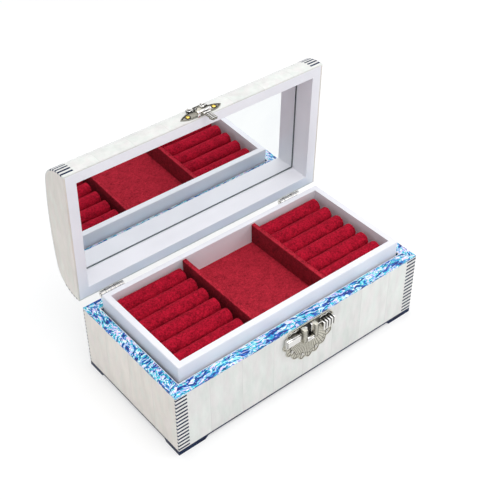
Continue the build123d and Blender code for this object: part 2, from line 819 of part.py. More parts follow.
# Tray: long front and back walls, side walls between them, and a bottom board inside
tray_base = ledge_top
tray_top = tray_base + tray_height
tray_half_length = tray_length / 2
tray_inner_half_length = tray_half_length - tray_wall
tray_inner_depth = tray_depth - 2 * tray_wall
for side, name in ((-1, "tray_front"), (1, "tray_back")):
    with BuildPart() as long_tray_wall:
        with BuildSketch(Plane.XY.offset(tray_base)):
            with Locations((0, tray_back_shift + side * (tray_depth - tray_wall) / 2)):
                Rectangle(tray_length, tray_wall)
        extrude(amount=tray_height)
        top_edges = long_tray_wall.faces().sort_by(Axis.Z)[-1].edges()
        outer_edge = top_edges.filter_by(Axis.X).sort_by(Axis.Y)[0 if side < 0 else -1]
        outer_face = long_tray_wall.faces().sort_by(Axis.Y)[0 if side < 0 else -1]
        end_edges = top_edges.filter_by(Axis.Y)
        fillet([outer_edge] + end_edges + outer_face.edges().filter_by(Axis.Z), tray_edge_fillet)
    save(long_tray_wall, name)

for side, name in ((-1, "tray_left"), (1, "tray_right")):
    with BuildPart() as side_tray_wall:
        with BuildSketch(Plane.XY.offset(tray_base)):
            with Locations((side * (tray_half_length - tray_wall / 2), tray_back_shift)):
                Rectangle(tray_wall, tray_inner_depth)
        extrude(amount=tray_height)
        top_edges = side_tray_wall.faces().sort_by(Axis.Z)[-1].edges()
        fillet(top_edges.filter_by(Axis.Y).sort_by(Axis.X)[0 if side < 0 else -1], tray_edge_fillet)
    save(side_tray_wall, name)

with BuildPart() as tray_bottom:
    with BuildSketch(Plane.XY.offset(tray_base)):
        with Locations((0, tray_back_shift)):
            Rectangle(2 * tray_inner_half_length, tray_inner_depth)
    extrude(amount=tray_bottom_thickness)
save(tray_bottom, "tray_bottom")

velvet_base = tray_base + tray_bottom_thickness
velvet_top = velvet_base + velvet_board_thickness
with BuildPart() as tray_velvet_floor:
    with BuildSketch(Plane.XY.offset(velvet_base)):
        with Locations((0, tray_back_shift)):
            Rectangle(2 * tray_inner_half_length, tray_inner_depth)
    extrude(amount=velvet_board_thickness)
save(tray_velvet_floor, "tray_velvet_floor")

# Dividers: velvet-covered boards that part the tray into three equal compartments
compartment_length = (2 * tray_inner_half_length - 2 * divider_thickness) / 3
divider_x = (compartment_length + divider_thickness) / 2
divider_top = tray_top - divider_drop
for side, name in ((-1, "divider_left"), (1, "divider_right")):
    with BuildPart() as divider:
        with BuildSketch(Plane.XY.offset(velvet_top)):
            with Locations((side * divider_x, tray_back_shift)):
                Rectangle(divider_thickness, tray_inner_depth)
        extrude(amount=divider_top - velvet_top)
        top_face = divider.faces().sort_by(Axis.Z)[-1]
        chamfer(top_face.edges().filter_by(Axis.X), divider_corner)
        top_face = divider.faces().sort_by(Axis.Z)[-1]
        fillet(top_face.edges().filter_by(Axis.Y), divider_fillet)
    save(divider, name)

# Ring pads: six half-round velvet rolls on a common base, loose in the two outer compartments
roll_width = ring_roll_pitch - ring_roll_gap
roll_axis_z = tray_top - ring_roll_drop - roll_width / 2
pad_depth = (ring_rolls - 1) * ring_roll_pitch + roll_width
left_pad_start = -tray_inner_half_length + ring_pad_play
right_pad_start = divider_x + divider_thickness / 2 + ring_pad_play
for start, name in ((left_pad_start, "ring_pad_left"), (right_pad_start, "ring_pad_right")):
    with BuildPart() as ring_pad:
        with BuildSketch(Plane.YZ.offset(start)):
            with Locations((tray_back_shift, velvet_top + ring_base_height / 2)):
                Rectangle(pad_depth, ring_base_height)
            with Locations((tray_back_shift, 0)):
                with GridLocations(ring_roll_pitch, 1, ring_rolls, 1):
                    with Locations((0, (velvet_top + roll_axis_z) / 2)):
                        Rectangle(roll_width, roll_axis_z - velvet_top)
                    with Locations((0, roll_axis_z)):
                        Circle(roll_width / 2)
        extrude(amount=ring_roll_length)
        end_arcs = ring_pad.edges().filter_by(GeomType.CIRCLE)
        fillet(end_arcs, ring_roll_fillet)
    save(ring_pad, name)
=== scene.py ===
import json
import math

import bmesh
import bpy
from mathutils import Matrix, Vector, noise


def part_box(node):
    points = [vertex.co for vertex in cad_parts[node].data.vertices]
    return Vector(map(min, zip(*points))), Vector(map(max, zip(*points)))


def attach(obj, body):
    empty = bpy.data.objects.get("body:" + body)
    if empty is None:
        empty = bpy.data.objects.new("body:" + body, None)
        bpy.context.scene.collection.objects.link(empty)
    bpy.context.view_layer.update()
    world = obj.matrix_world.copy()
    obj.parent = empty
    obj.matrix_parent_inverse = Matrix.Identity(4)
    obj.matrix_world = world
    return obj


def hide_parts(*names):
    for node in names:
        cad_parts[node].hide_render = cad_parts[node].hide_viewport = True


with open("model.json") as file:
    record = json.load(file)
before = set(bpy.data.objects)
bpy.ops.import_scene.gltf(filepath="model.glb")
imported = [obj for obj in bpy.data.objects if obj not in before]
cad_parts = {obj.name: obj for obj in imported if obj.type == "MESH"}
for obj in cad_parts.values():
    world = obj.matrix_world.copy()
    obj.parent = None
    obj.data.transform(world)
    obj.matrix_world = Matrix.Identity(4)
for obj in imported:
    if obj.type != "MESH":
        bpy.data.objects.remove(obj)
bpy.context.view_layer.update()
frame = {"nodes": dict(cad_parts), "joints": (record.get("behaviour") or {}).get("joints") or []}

bl_info = {
    "name": "Jewelry Chest",
    "version": (1, 0, 0),
    "blender": (4, 5, 0),
    "location": "View3D > Sidebar > Jewelry Chest",
    "description": "Dresses a shell-veneered jewelry chest with a mirror lid and a velvet ring tray",
    "category": "Add Mesh",
}

MM = 0.001

# Groups of the chest's own boards and sheets
PEARL_LONG = ("pearl_front", "pearl_back")
PEARL_SHORT = ("pearl_left", "pearl_right")
PEARL_LID = ("lid_dome_pearl",)
PEARL_LID_ENDS = ("lid_left_pearl", "lid_right_pearl")
RIM_LONG = ("rim_front", "rim_back")
RIM_SHORT = ("rim_left", "rim_right")
LINING_LONG = ("lining_front", "lining_back", "tray_ledges")
LINING_SHORT = ("lining_left", "lining_right")
LINING_FLOOR = ("lining_floor",)
STRIPES = ("corner_inlay_left", "corner_inlay_right", "lid_inlay")
PLINTH = ("plinth", "foot_front_left", "foot_front_right", "foot_back_left", "foot_back_right")
LID_BOARDS = ("lid_front_rail", "lid_back_rail", "lid_left_end", "lid_right_end", "lid_dome_core")
TRAY_BOARDS = ("tray_front", "tray_back", "tray_left", "tray_right", "tray_bottom")
CORE_BOARDS = ("front_wall", "back_wall", "left_wall", "right_wall", "bottom_board")
HINGES = ("hinge_box_leaves", "hinge_lid_leaves", "hinge_pins", "hasp_pin", "box_screws")

# The plated metal, its engraved ground, the lines in that ground, and the dark of the recesses, which is
# patina with painted shade
CLASP_METALS = ("nickel_plate", "nickel_satin", "nickel_line", "nickel_shadow")
HASP_METALS = ("nickel_plate", "nickel_satin", "nickel_worn", "nickel_shadow")

# Numbers of the light and the dark one among a piece's two materials
BRIGHT, DARK = 0, 1

# Width of the slope between a groove's floor and the face beside it
GROOVE_SLOPE = 0.12 * MM

# Heights of the clasp's parts: its boss, the top of its bars, the foot of its jaws and the bolt's knob
BOSS_LOW, BOSS_HIGH = 48 * MM, 55.5 * MM
BAR_HIGH, JAW_LOW = 49.3 * MM, 51.5 * MM
KNOB_LOW, KNOB_HIGH = 48 * MM, 56 * MM

# The gap between the rim and the closed lid, and the middle of the right hinge
LID_GAP = 0.3 * MM
HINGE_X = 91 * MM

# Where a screw stands: across from the middle of the hasp or a hinge, and up from the lid's edge
HASP_SCREW = (12.1 * MM, 4.8 * MM)
HINGE_SCREW = (5.25 * MM, 5.5 * MM)

# Half of the hasp's outline: shares of half its width, and millimetres up from the lid's edge
WING = (
    (0.0, 1.2), (0.55, 1.2), (0.72, 1.7), (0.88, 3.2), (1.0, 4.8), (0.88, 6.4),
    (0.74, 7.8), (0.60, 8.6), (0.50, 9.0), (0.47, 10.4), (0.44, 12.8), (0.0, 12.8),
)

# The spray of wire on the clasp plate: millimetres across from its middle, and up from the ground
SPRAY = ((20.6, 56.4), (19.4, 58.0), (17.2, 58.4), (15.6, 57.3), (13.6, 58.3), (11.2, 58.2), (9.8, 57.0))

# Strokes of the abalone that laps over the top of the pearl: length, width and wander
RIM_LAP = (5.0 * MM, 0.9 * MM, 0.3)

# Hues of the abalone along a slow change: the dark gaps, the ground, and the light strokes on it
RIM_DEEP = (0.004, 0.020, 0.160)
RIM_GROUND = (
    (0.32, (0.010, 0.050, 0.400)),
    (0.41, (0.004, 0.150, 0.600)),
    (0.47, (0.006, 0.420, 0.660)),
    (0.53, (0.050, 0.700, 0.720)),
    (0.60, (0.020, 0.340, 0.720)),
    (0.72, (0.100, 0.120, 0.600)),
)
RIM_STROKES = (
    (0.32, (0.300, 0.860, 0.860)),
    (0.41, (0.920, 0.960, 0.960)),
    (0.50, (0.900, 0.640, 0.880)),
    (0.57, (0.500, 0.480, 0.900)),
    (0.64, (0.780, 0.960, 0.960)),
)
LINING_DEEP = (0.002, 0.006, 0.036)
LINING_GROUND = (
    (0.30, (0.004, 0.012, 0.140)),
    (0.42, (0.004, 0.050, 0.300)),
    (0.50, (0.006, 0.140, 0.380)),
    (0.58, (0.006, 0.280, 0.380)),
    (0.70, (0.050, 0.060, 0.420)),
)
LINING_STROKES = (
    (0.34, (0.060, 0.820, 0.960)),
    (0.43, (0.060, 0.760, 0.560)),
    (0.50, (0.900, 0.240, 0.820)),
    (0.57, (0.900, 0.960, 0.960)),
    (0.66, (0.360, 0.240, 0.960)),
)
# Colours of the pale lines in the abalone, the pearl's play, the raw board, the mirror, its bead
# and the sheen of the nap
RIM_LINE, FLOOR_LINE = (0.82, 0.86, 0.90), (0.45, 0.47, 0.50)
PEARL_GREEN, PEARL_ROSE = (0.62, 0.72, 0.66), (0.76, 0.66, 0.68)
BOARD_HUES = ((0.3, (0.42, 0.28, 0.16)), (0.7, (0.62, 0.46, 0.30)))
SILVER, SILVER_LIGHT = (0.86, 0.88, 0.89), (0.89, 0.91, 0.91)
BEAD_HUES = ((0.3, (0.05, 0.07, 0.08)), (0.7, (0.11, 0.14, 0.15)))
NAP_SHEEN = (1.0, 0.22, 0.28, 1.0)
STRIPE_HUES = (
    (0.30, (0.001, 0.002, 0.012)),
    (0.50, (0.001, 0.006, 0.045)),
    (0.60, (0.001, 0.020, 0.060)),
    (0.72, (0.006, 0.008, 0.090)),
)


def a_color(name, description, *color):
    return bpy.props.FloatVectorProperty(
        name=name, description=description, subtype="COLOR", default=color
    )


def a_length(name, description, millimetres):
    return bpy.props.FloatProperty(
        name=name, description=description, unit="LENGTH", default=millimetres * MM
    )


def an_angle(name, description, radians):
    return bpy.props.FloatProperty(
        name=name, description=description, subtype="ANGLE", default=radians
    )


def a_number(name, description, number):
    return bpy.props.FloatProperty(name=name, description=description, default=number)


def a_count(name, description, count):
    return bpy.props.IntProperty(name=name, description=description, default=count)


class ChestColors(bpy.types.PropertyGroup):
    """The colours of the chest's finishes."""

    pearl_long: a_color("Long pearl", "Mother-of-pearl on the front, back and dome", 0.720, 0.725, 0.700)
    pearl_short: a_color("End pearl", "The warmer mother-of-pearl on the ends", 0.730, 0.675, 0.610)
    paint: a_color("White paint", "Satin paint on the tray and inside the lid", 0.800, 0.800, 0.850)
    velvet: a_color("Velvet", "Lit velvet of the tray's floor and dividers", 0.560, 0.026, 0.050)
    roll_velvet: a_color("Roll velvet", "Lit velvet of the ring rolls, which is deeper", 0.500, 0.009, 0.032)
    nickel: a_color("Nickel", "The plating of the clasp, the hasp and the hinges", 0.700, 0.685, 0.660)
    nickel_satin: a_color("Satin nickel", "The engraved ground of the clasp plate", 0.560, 0.540, 0.470)
    # The dark that the metal's recesses and the gaps behind its parts take: patina with painted shade
    patina_and_shade: a_color("Patina", "The dark in the metal's recesses", 0.012, 0.011, 0.010)
    brass: a_color("Brass", "The screws in the lid", 0.900, 0.640, 0.130)


class ChestSizes(bpy.types.PropertyGroup):
    """The sizes that the finishes and the soft pieces are made to."""

    pearl_strip: a_length("Pearl strip", "Width of one strip of mother-of-pearl", 30)
    shell_piece: a_length("Shell piece", "Size of one piece of the abalone veneer", 16)
    shell_stroke: a_length("Shell stroke", "Length of a short stroke in the abalone", 2.6)
    roll_swell: a_length("Roll swell", "How far the foam pushes a ring roll's velvet out", 0.6)
    nap: a_length("Nap", "Height of the soft lumps in the velvet", 0.22)
    roll_voxel: a_length("Roll mesh", "Size of the squares that a ring roll is remeshed to", 1.0)


class Finish:
    """One procedural material, while its nodes are laid out."""

    def __init__(self, name, **constants):
        self.material = bpy.data.materials.new(name)
        self.material.use_nodes = True
        self.tree = self.material.node_tree
        self.shader = self.tree.nodes["Principled BSDF"]
        for socket, value in constants.items():
            self.shader.inputs[socket.replace("_", " ")].default_value = value
        self.place = self.node("TexCoord").outputs["Object"]
        split = self.node("SeparateXYZ", self.place)
        self.x, self.y, self.z = split.outputs

    def node(self, kind, *inputs, **settings):
        """Add a node. Each input is a value, a socket, or None to leave it as it is."""
        made = self.tree.nodes.new("ShaderNode" + kind)
        for key, value in settings.items():
            setattr(made, key, value)
        sockets = [socket for socket in made.inputs if socket.enabled]
        for socket, value in zip(sockets, inputs):
            if isinstance(value, bpy.types.NodeSocket):
                self.tree.links.new(value, socket)
            elif value is not None:
                socket.default_value = value
        return made

    def math(self, operation, *values):
        """Arithmetic on single values."""
        return self.node("Math", *values, operation=operation).outputs[0]

    def shift(self, operation, *vectors):
        """Vector arithmetic."""
        return self.node("VectorMath", *vectors, operation=operation).outputs[0]

    def noise(self, vector, size, detail=2.0, roughness=0.5, output="Fac"):
        made = self.node("TexNoise", noise_dimensions="3D")
        self.tree.links.new(vector, made.inputs["Vector"])
        made.inputs["Scale"].default_value = 1 / size
        made.inputs["Detail"].default_value = detail
        made.inputs["Roughness"].default_value = roughness
        return made.outputs[output]

    def grain(self, vector, sizes, detail=1.0, roughness=0.5):
        """Noise with a grain size of its own along each axis."""
        scale = tuple(1 / size for size in sizes)
        return self.noise(self.shift("MULTIPLY", vector, scale), 1.0, detail, roughness)

    def cells(self, vector, size):
        """Pieces of about one size. Each has a colour of its own, for what differs between them."""
        made = self.node("TexVoronoi")
        self.tree.links.new(vector, made.inputs["Vector"])
        made.inputs["Scale"].default_value = 1 / size
        return made.outputs["Color"]

    def bend(self, vector, size, most):
        """Push a place about by a noise of some size, by at most so much."""
        push = self.shift("SUBTRACT", self.noise(vector, size, output="Color"), (0.5, 0.5, 0.5))
        return self.shift("ADD", vector, self.shift("MULTIPLY", push, (2 * most,) * 3))

    def ramp(self, value, steps):
        """Look a value up in (position, colour) steps."""
        made = self.node("ValToRGB", value)
        scale = made.color_ramp
        while len(scale.elements) < len(steps):
            scale.elements.new(1.0)
        for element, (position, color) in zip(scale.elements, steps):
            element.position = position
            element.color = (*color, 1.0)
        return made.outputs["Color"]

    def blend(self, first, second, share):
        """A share of the first value, and the rest of the second."""
        return self.math("MULTIPLY_ADD", first, share, self.math("MULTIPLY", second, 1 - share))

    def band(self, value, low, high):
        """0 below low, 1 above high, and a straight rise between them."""
        made = self.node("MapRange", value, low, high, 0.0, 1.0)
        return made.outputs["Result"]

    def mix(self, factor, first, second, blend="MIX"):
        made = self.node("Mix", data_type="RGBA", blend_type=blend)
        for name, value in (("Factor_Float", factor), ("A_Color", first), ("B_Color", second)):
            socket = next(s for s in made.inputs if s.identifier == name)
            if isinstance(value, bpy.types.NodeSocket):
                self.tree.links.new(value, socket)
            elif isinstance(value, float):
                socket.default_value = value
            else:
                socket.default_value = (*value, 1.0)
        return next(s for s in made.outputs if s.identifier == "Result_Color")

    def dim(self, color, light):
        """A colour times a grey."""
        grey = self.node("CombineColor", light, light, light).outputs[0]
        return self.mix(1.0, color, grey, "MULTIPLY")

    def bump(self, height, depth, strength, under=None):
        made = self.node("Bump")
        made.inputs["Strength"].default_value = strength
        made.inputs["Distance"].default_value = depth
        self.tree.links.new(height, made.inputs["Height"])
        if under is not None:
            self.tree.links.new(under, made.inputs["Normal"])
        return made.outputs["Normal"]

    def color(self, socket):
        self.tree.links.new(socket, self.shader.inputs["Base Color"])

    def relief(self, normal):
        self.tree.links.new(normal, self.shader.inputs["Normal"])

    def gloss(self, socket):
        self.tree.links.new(socket, self.shader.inputs["Roughness"])

    def wear(self, names):
        """Put this material on the chest's own boards and sheets."""
        for name in names:
            put_on(frame["nodes"][name], self.material)


def scaled(tone, share):
    """A colour made lighter or darker, no part of it past full."""
    return tuple(min(1.0, share * part) for part in tone)


def put_on(piece, *materials):
    """Give a piece its materials. All of it wears the first until faces are painted with another."""
    piece.data.materials.clear()
    for material in materials:
        piece.data.materials.append(material)


def shell_strokes(finish, normal, along, length, width, wander, lean=0.0):
    """Abalone veneer whose pieces each have strokes of their own direction.

    Returns the strokes, light where they are high, and two slow values for the hues.
    """
    piece = bpy.context.scene.chest_sizes.shell_piece
    own = finish.cells(finish.bend(finish.place, 0.6 * piece, 0.35 * piece), piece)
    own_x = finish.node("SeparateXYZ", own).outputs[0]
    angle = finish.math("MULTIPLY_ADD", own_x, 2 * wander, lean - wander)
    axis = [0.0, 0.0, 0.0]
    axis["XYZ".index(normal)] = 1.0
    turned = finish.node("VectorRotate", finish.place, None, axis, angle).outputs[0]
    apart = finish.shift("ADD", turned, finish.shift("MULTIPLY", own, (0.2, 0.2, 0.2)))
    bent = finish.bend(apart, 1.8 * length, 0.55 * length)
    sizes = [width] * 3
    sizes["XYZ".index(along)] = length
    strokes = finish.grain(bent, sizes)
    hue = finish.grain(bent, [3.2 * size for size in sizes])
    value = finish.blend(hue, strokes, 0.45)
    tone = finish.noise(finish.shift("ADD", apart, (0.3, 0.1, 0.2)), 1.1 * length, 1.0)
    return value, hue, tone


def rim_colors(finish, normal, along, length, width, wander, lean=0.0):
    """Bright abalone: turquoise and blue, with strokes of white, pink and lilac."""
    value, hue, tone = shell_strokes(finish, normal, along, length, width, wander, lean)
    ground = finish.mix(finish.band(value, 0.41, 0.46), RIM_DEEP, finish.ramp(hue, RIM_GROUND))
    strokes = finish.ramp(tone, RIM_STROKES)
    return finish.mix(finish.band(value, 0.520, 0.548), ground, strokes), value


def pearl_finish(name, tone, across, strip, lap=False):
    """Mother-of-pearl in strips across one axis. lap lays a wavy abalone margin along the top."""
    finish = Finish(name, Roughness=0.24, Coat_Weight=0.35, Coat_Roughness=0.08, IOR=1.5)
    position = finish.x if across == "X" else finish.y
    count = finish.math("DIVIDE", position, strip)
    number = finish.math("FLOOR", count)
    own = finish.node("TexWhiteNoise", number, noise_dimensions="1D")
    apart = finish.shift("ADD", finish.place, own.outputs["Color"])
    cloud = finish.grain(apart, [9 * MM, 9 * MM, 26 * MM], 5.0, 0.6)
    wavy = finish.grain(apart, [2.2 * MM, 2.2 * MM, 14 * MM], 3.0)
    light = scaled(tone, 1.09)
    base = finish.mix(finish.band(cloud, 0.32, 0.68), scaled(tone, 0.90), light)
    base = finish.mix(finish.math("MULTIPLY", finish.band(wavy, 0.45, 0.7), 0.35), base, light)
    play = finish.grain(apart, [7 * MM, 7 * MM, 16 * MM], 2.0)
    tint = finish.ramp(finish.band(play, 0.35, 0.65), ((0.0, PEARL_GREEN), (0.5, tone), (1.0, PEARL_ROSE)))
    base = finish.mix(0.22, base, tint)
    step = finish.math("MULTIPLY_ADD", own.outputs["Value"], 0.07, 0.955)
    base = finish.dim(base, step)
    within = finish.math("FRACT", count)
    edge = finish.math("MINIMUM", within, finish.math("SUBTRACT", 1.0, within))
    seam = finish.band(edge, 0.002, 0.010)
    gap = finish.math("MULTIPLY", finish.math("SUBTRACT", 1.0, seam), 0.35)
    base = finish.mix(gap, base, scaled(tone, 0.62))
    height = finish.math("ADD", finish.math("MULTIPLY", cloud, 0.5), finish.math("MULTIPLY", seam, 0.5))
    if lap:
        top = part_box("pearl_front")[1].z
        normal = "Y" if across == "X" else "X"
        colors, value = rim_colors(finish, normal, across, *RIM_LAP)
        ragged = finish.grain(finish.place, [7 * MM, 7 * MM, 1.0], 3.0)
        margin = finish.math("MULTIPLY_ADD", ragged, 2.4 * MM, -0.9 * MM)
        depth = finish.math("SUBTRACT", top, finish.z)
        left = finish.math("SUBTRACT", margin, depth)
        cover = finish.band(left, -0.08 * MM, 0.08 * MM)
        base = finish.mix(cover, base, colors)
        height = finish.math("ADD", height, finish.math("MULTIPLY", cover, 0.4))
    finish.color(base)
    finish.relief(finish.bump(height, 0.05 * MM, 0.6))
    return finish


def rim_finish(name, along, *strokes):
    """Bright abalone on the rim, with the thin white line along its inner edge."""
    finish = Finish(name, Roughness=0.2, Coat_Weight=0.25, Coat_Roughness=0.06, Specular_IOR_Level=0.4)
    colors, value = rim_colors(finish, "Z", along, *strokes)
    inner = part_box("rim_front")[1].y
    in_y = finish.math("SUBTRACT", finish.math("ABSOLUTE", finish.y), abs(inner))
    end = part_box("rim_left")[1].x
    in_x = finish.math("SUBTRACT", finish.math("ABSOLUTE", finish.x), abs(end))
    inside = finish.math("MAXIMUM", in_x, in_y)
    line = finish.band(inside, 0.35 * MM, 0.6 * MM)
    finish.color(finish.mix(line, RIM_LINE, colors))
    finish.relief(finish.bump(value, 0.05 * MM, 0.5))
    return finish


def lining_finish(name, normal, along, length, width, wander, cover, painted_light_drift=(0.0, 0.0)):
    """Dark abalone with a share of bright strokes, and a pale line round the floor.

    The strokes thin out or gather along X and Y by the drift, which is painted light: more bright strokes
    where more light falls.
    """
    finish = Finish(name, Roughness=0.25, Specular_IOR_Level=0.22)
    value, hue, tone = shell_strokes(finish, normal, along, length, width, wander)
    ground = finish.mix(finish.band(value, 0.42, 0.50), LINING_DEEP, finish.ramp(hue, LINING_GROUND))
    strokes = finish.ramp(tone, LINING_STROKES)
    slow = finish.noise(finish.place, 24 * MM, 1.0)
    value = finish.math("MULTIPLY_ADD", slow, 0.25, value)
    # Painted light: the drift gathers bright strokes where more light falls
    for position, slope in zip((finish.x, finish.y), painted_light_drift):
        value = finish.math("MULTIPLY_ADD", position, slope, value)
    colors = finish.mix(finish.band(value, cover, cover + 0.05), ground, strokes)
    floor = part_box("lining_floor")[1].z
    line = finish.band(finish.z, floor + 0.45 * MM, floor + 0.65 * MM)
    above = finish.band(finish.z, floor + 0.02 * MM, floor + 0.04 * MM)
    joint = finish.math("MULTIPLY", above, finish.math("SUBTRACT", 1.0, line))
    finish.color(finish.mix(joint, colors, FLOOR_LINE))
    finish.relief(finish.bump(value, 0.05 * MM, 0.5))
    return finish


def stripe_finish(name):
    """Dark shell of the stripes, plinth and feet. Each stripe has a hue of its own."""
    finish = Finish(name, Roughness=0.3, Specular_IOR_Level=0.08)
    own = finish.grain(finish.place, [14 * MM, 3 * MM, 3 * MM])
    fine = finish.grain(finish.place, [3 * MM, 3 * MM, MM], 3.0)
    value = finish.blend(fine, own, 0.5)
    finish.color(finish.ramp(value, STRIPE_HUES))
    finish.relief(finish.bump(fine, 0.03 * MM, 0.4))
    return finish


def paint_finish(name, tone):
    """Satin paint: a faint orange peel, and a slow change of tone over the boards."""
    finish = Finish(name, Roughness=0.34, Coat_Weight=0.15, Coat_Roughness=0.2, IOR=1.46)
    slow = finish.noise(finish.place, 40 * MM, 2.0)
    finish.color(finish.mix(finish.band(slow, 0.3, 0.7), scaled(tone, 0.97), scaled(tone, 1.03)))
    peel = finish.noise(finish.place, 1.1 * MM, 2.0)
    finish.relief(finish.bump(peel, 0.03 * MM, 0.25))
    return finish


def wood_finish(name):
    """Raw pale board, as under the sheets."""
    finish = Finish(name, Roughness=0.7)
    grain = finish.grain(finish.place, [40 * MM, 1.5 * MM, 1.5 * MM], 4.0)
    finish.color(finish.ramp(grain, BOARD_HUES))
    finish.relief(finish.bump(grain, 0.05 * MM, 0.5))
    return finish


def velvet_finish(name, lit, sheen, spread, crest=None):
    """Short-napped velvet: brushed patches, a fine grain and a soft sheen.

    A wider spread makes the patches softer. Below a crest's height the velvet is darkened, painted shade on
    the sides under the lit top.
    """
    finish = Finish(
        name,
        Roughness=0.9,
        Specular_IOR_Level=0.05,
        Sheen_Weight=sheen,
        Sheen_Roughness=0.4,
        Sheen_Tint=NAP_SHEEN,
    )
    shade = scaled(lit, 0.34)
    brushed = finish.noise(finish.place, 8 * MM, 3.0, 0.6)
    mottle = finish.noise(finish.place, 1.9 * MM, 2.0, 0.6)
    grain = finish.noise(finish.place, 0.9 * MM, 2.0)
    value = finish.blend(mottle, brushed, 0.6)
    value = finish.blend(grain, value, 0.4)
    nap = finish.mix(finish.band(value, 0.5 - spread, 0.5 + spread), shade, lit)
    if crest is not None:
        # Painted shade: the velvet is darker below the crest than on the lit top
        upright = finish.band(finish.z, crest - 1.0 * MM, crest - 0.3 * MM)
        light = finish.math("MULTIPLY_ADD", upright, 0.45, 0.55)
        nap = finish.dim(nap, light)
    finish.color(nap)
    soft = finish.bump(mottle, 0.5 * MM, 0.6)
    finish.relief(finish.bump(grain, 0.15 * MM, 0.7, soft))
    return finish


def metal_finish(name, tone, roughness, engraving=0.02 * MM, unshaded_share=0.8):
    """Cast and plated metal, with patina and painted shade where two surfaces come close.

    The patina and painted shade end where more than the unshaded share of what lies above the surface is
    open.
    """
    patina_and_shade = tuple(bpy.context.scene.chest_colors.patina_and_shade)
    finish = Finish(name, Metallic=1.0)
    # Ambient occlusion darkens the plating where surfaces come close: patina with painted shade
    near = finish.node("AmbientOcclusion", samples=8)
    near.inputs["Distance"].default_value = 1.4 * MM
    open_part = finish.band(near.outputs["AO"], 0.45 * unshaded_share, unshaded_share)
    wear = finish.noise(finish.place, 1.4 * MM, 3.0)
    fine = finish.noise(finish.place, 0.7 * MM, 2.0)
    plate = finish.mix(finish.band(wear, 0.35, 0.65), scaled(tone, 0.88), scaled(tone, 1.12))
    finish.color(finish.mix(open_part, patina_and_shade, plate))
    finish.gloss(finish.math("MULTIPLY_ADD", wear, 0.12, roughness))
    finish.relief(finish.bump(fine, engraving, 0.6))
    return finish


def patina_and_shade_finish(name, tone):
    """Patina with painted shade in the metal's recesses and behind its parts, with a little metal showing
    through.
    """
    finish = Finish(name, Roughness=0.45, Specular_IOR_Level=0.3)
    wear = finish.noise(finish.place, 0.8 * MM, 2.0)
    finish.color(finish.mix(finish.band(wear, 0.55, 0.75), tone, scaled(tone, 5)))
    finish.relief(finish.bump(wear, 0.05 * MM, 0.5))
    return finish


def mirror_finish(name):
    """Silvered glass with the faintest haze."""
    finish = Finish(name, Metallic=1.0)
    haze = finish.noise(finish.place, 30 * MM, 2.0)
    finish.color(finish.mix(finish.band(haze, 0.3, 0.7), SILVER, SILVER_LIGHT))
    finish.gloss(finish.math("MULTIPLY", haze, 0.012))
    return finish


def activate(piece):
    """Deselect everything, then select one piece and make it active."""
    if bpy.context.object and bpy.context.object.mode != "OBJECT":
        bpy.ops.object.mode_set(mode="OBJECT")
    bpy.ops.object.select_all(action="DESELECT")
    piece.select_set(True)
    bpy.context.view_layer.objects.active = piece


def name_piece(name):
    """Name the object that was just added, and put its place into its mesh."""
    piece = bpy.context.object
    piece.name = name
    piece.data.name = name
    bpy.ops.object.transform_apply(location=True, rotation=True, scale=True)
    return piece


def add_shape(name, add, **settings):
    """Add one of the simple shapes, with nothing else selected."""
    bpy.ops.object.select_all(action="DESELECT")
    add(**settings)
    return name_piece(name)


def add_block(name, low, high):
    """A block between two corners."""
    low, high = Vector(low), Vector(high)
    middle = (low + high) / 2
    return add_shape(name, bpy.ops.mesh.primitive_cube_add, size=1, location=middle, scale=high - low)


def add_rod(name, start, end, radius, sides=32):
    """A round rod between two points."""
    start, end = Vector(start), Vector(end)
    return add_shape(
        name,
        bpy.ops.mesh.primitive_cylinder_add,
        vertices=sides,
        radius=radius,
        depth=(end - start).length,
        location=(start + end) / 2,
        rotation=(end - start).to_track_quat("Z", "Y").to_euler(),
    )


def add_dome(name, centre, direction, radius, height):
    """The head of a round screw: a flattened half ball on a plane."""
    dome = add_shape(name, bpy.ops.mesh.primitive_uv_sphere_add, segments=28, ring_count=16, radius=radius)
    bpy.ops.object.mode_set(mode="EDIT")
    bpy.ops.mesh.select_all(action="SELECT")
    bpy.ops.mesh.bisect(plane_co=(0, 0, 0), plane_no=(0, 0, 1), clear_inner=True, use_fill=True)
    end_edit()
    turn = Vector(direction).to_track_quat("Z", "Y").to_matrix().to_4x4()
    flat = Matrix.Diagonal((1, 1, height / radius, 1))
    dome.data.transform(Matrix.Translation(centre) @ turn @ flat)
    return dome


def bent_wire(name, points, radius, metal):
    """A round wire that follows points, as a closed mesh."""
    bpy.ops.object.select_all(action="DESELECT")
    bpy.ops.curve.primitive_nurbs_path_add()
    wire = bpy.context.object
    wire.name = name
    wire.data.splines.clear()
    spline = wire.data.splines.new("NURBS")
    spline.points.add(len(points) - 1)
    for point, place in zip(spline.points, points):
        point.co = (*place, 1.0)
    spline.order_u = 3
    spline.use_endpoint_u = True
    wire.data.bevel_depth = radius
    wire.data.bevel_resolution = 3
    wire.data.use_fill_caps = True
    wire.data.resolution_u = 4
    bpy.ops.object.convert(target="MESH")
    wire = name_piece(name)
    put_on(wire, *metal)
    return wire


def edit_faces(piece, wanted):
    """Go into edit mode with just the faces selected that wanted() accepts."""
    activate(piece)
    bpy.ops.object.mode_set(mode="EDIT")
    bpy.ops.mesh.select_mode(type="FACE")
    bpy.ops.mesh.select_all(action="DESELECT")
    sheet = bmesh.from_edit_mesh(piece.data)
    for face in sheet.faces:
        face.select_set(wanted(face))
    bmesh.update_edit_mesh(piece.data)


def end_edit():
    bpy.ops.object.mode_set(mode="OBJECT")


def finish_with(piece, kind, **settings):
    """Add a modifier to a piece and apply it."""
    activate(piece)
    step = piece.modifiers.new(kind, kind)
    for key, value in settings.items():
        setattr(step, key, value)
    bpy.ops.object.modifier_apply(modifier=step.name)
    return piece


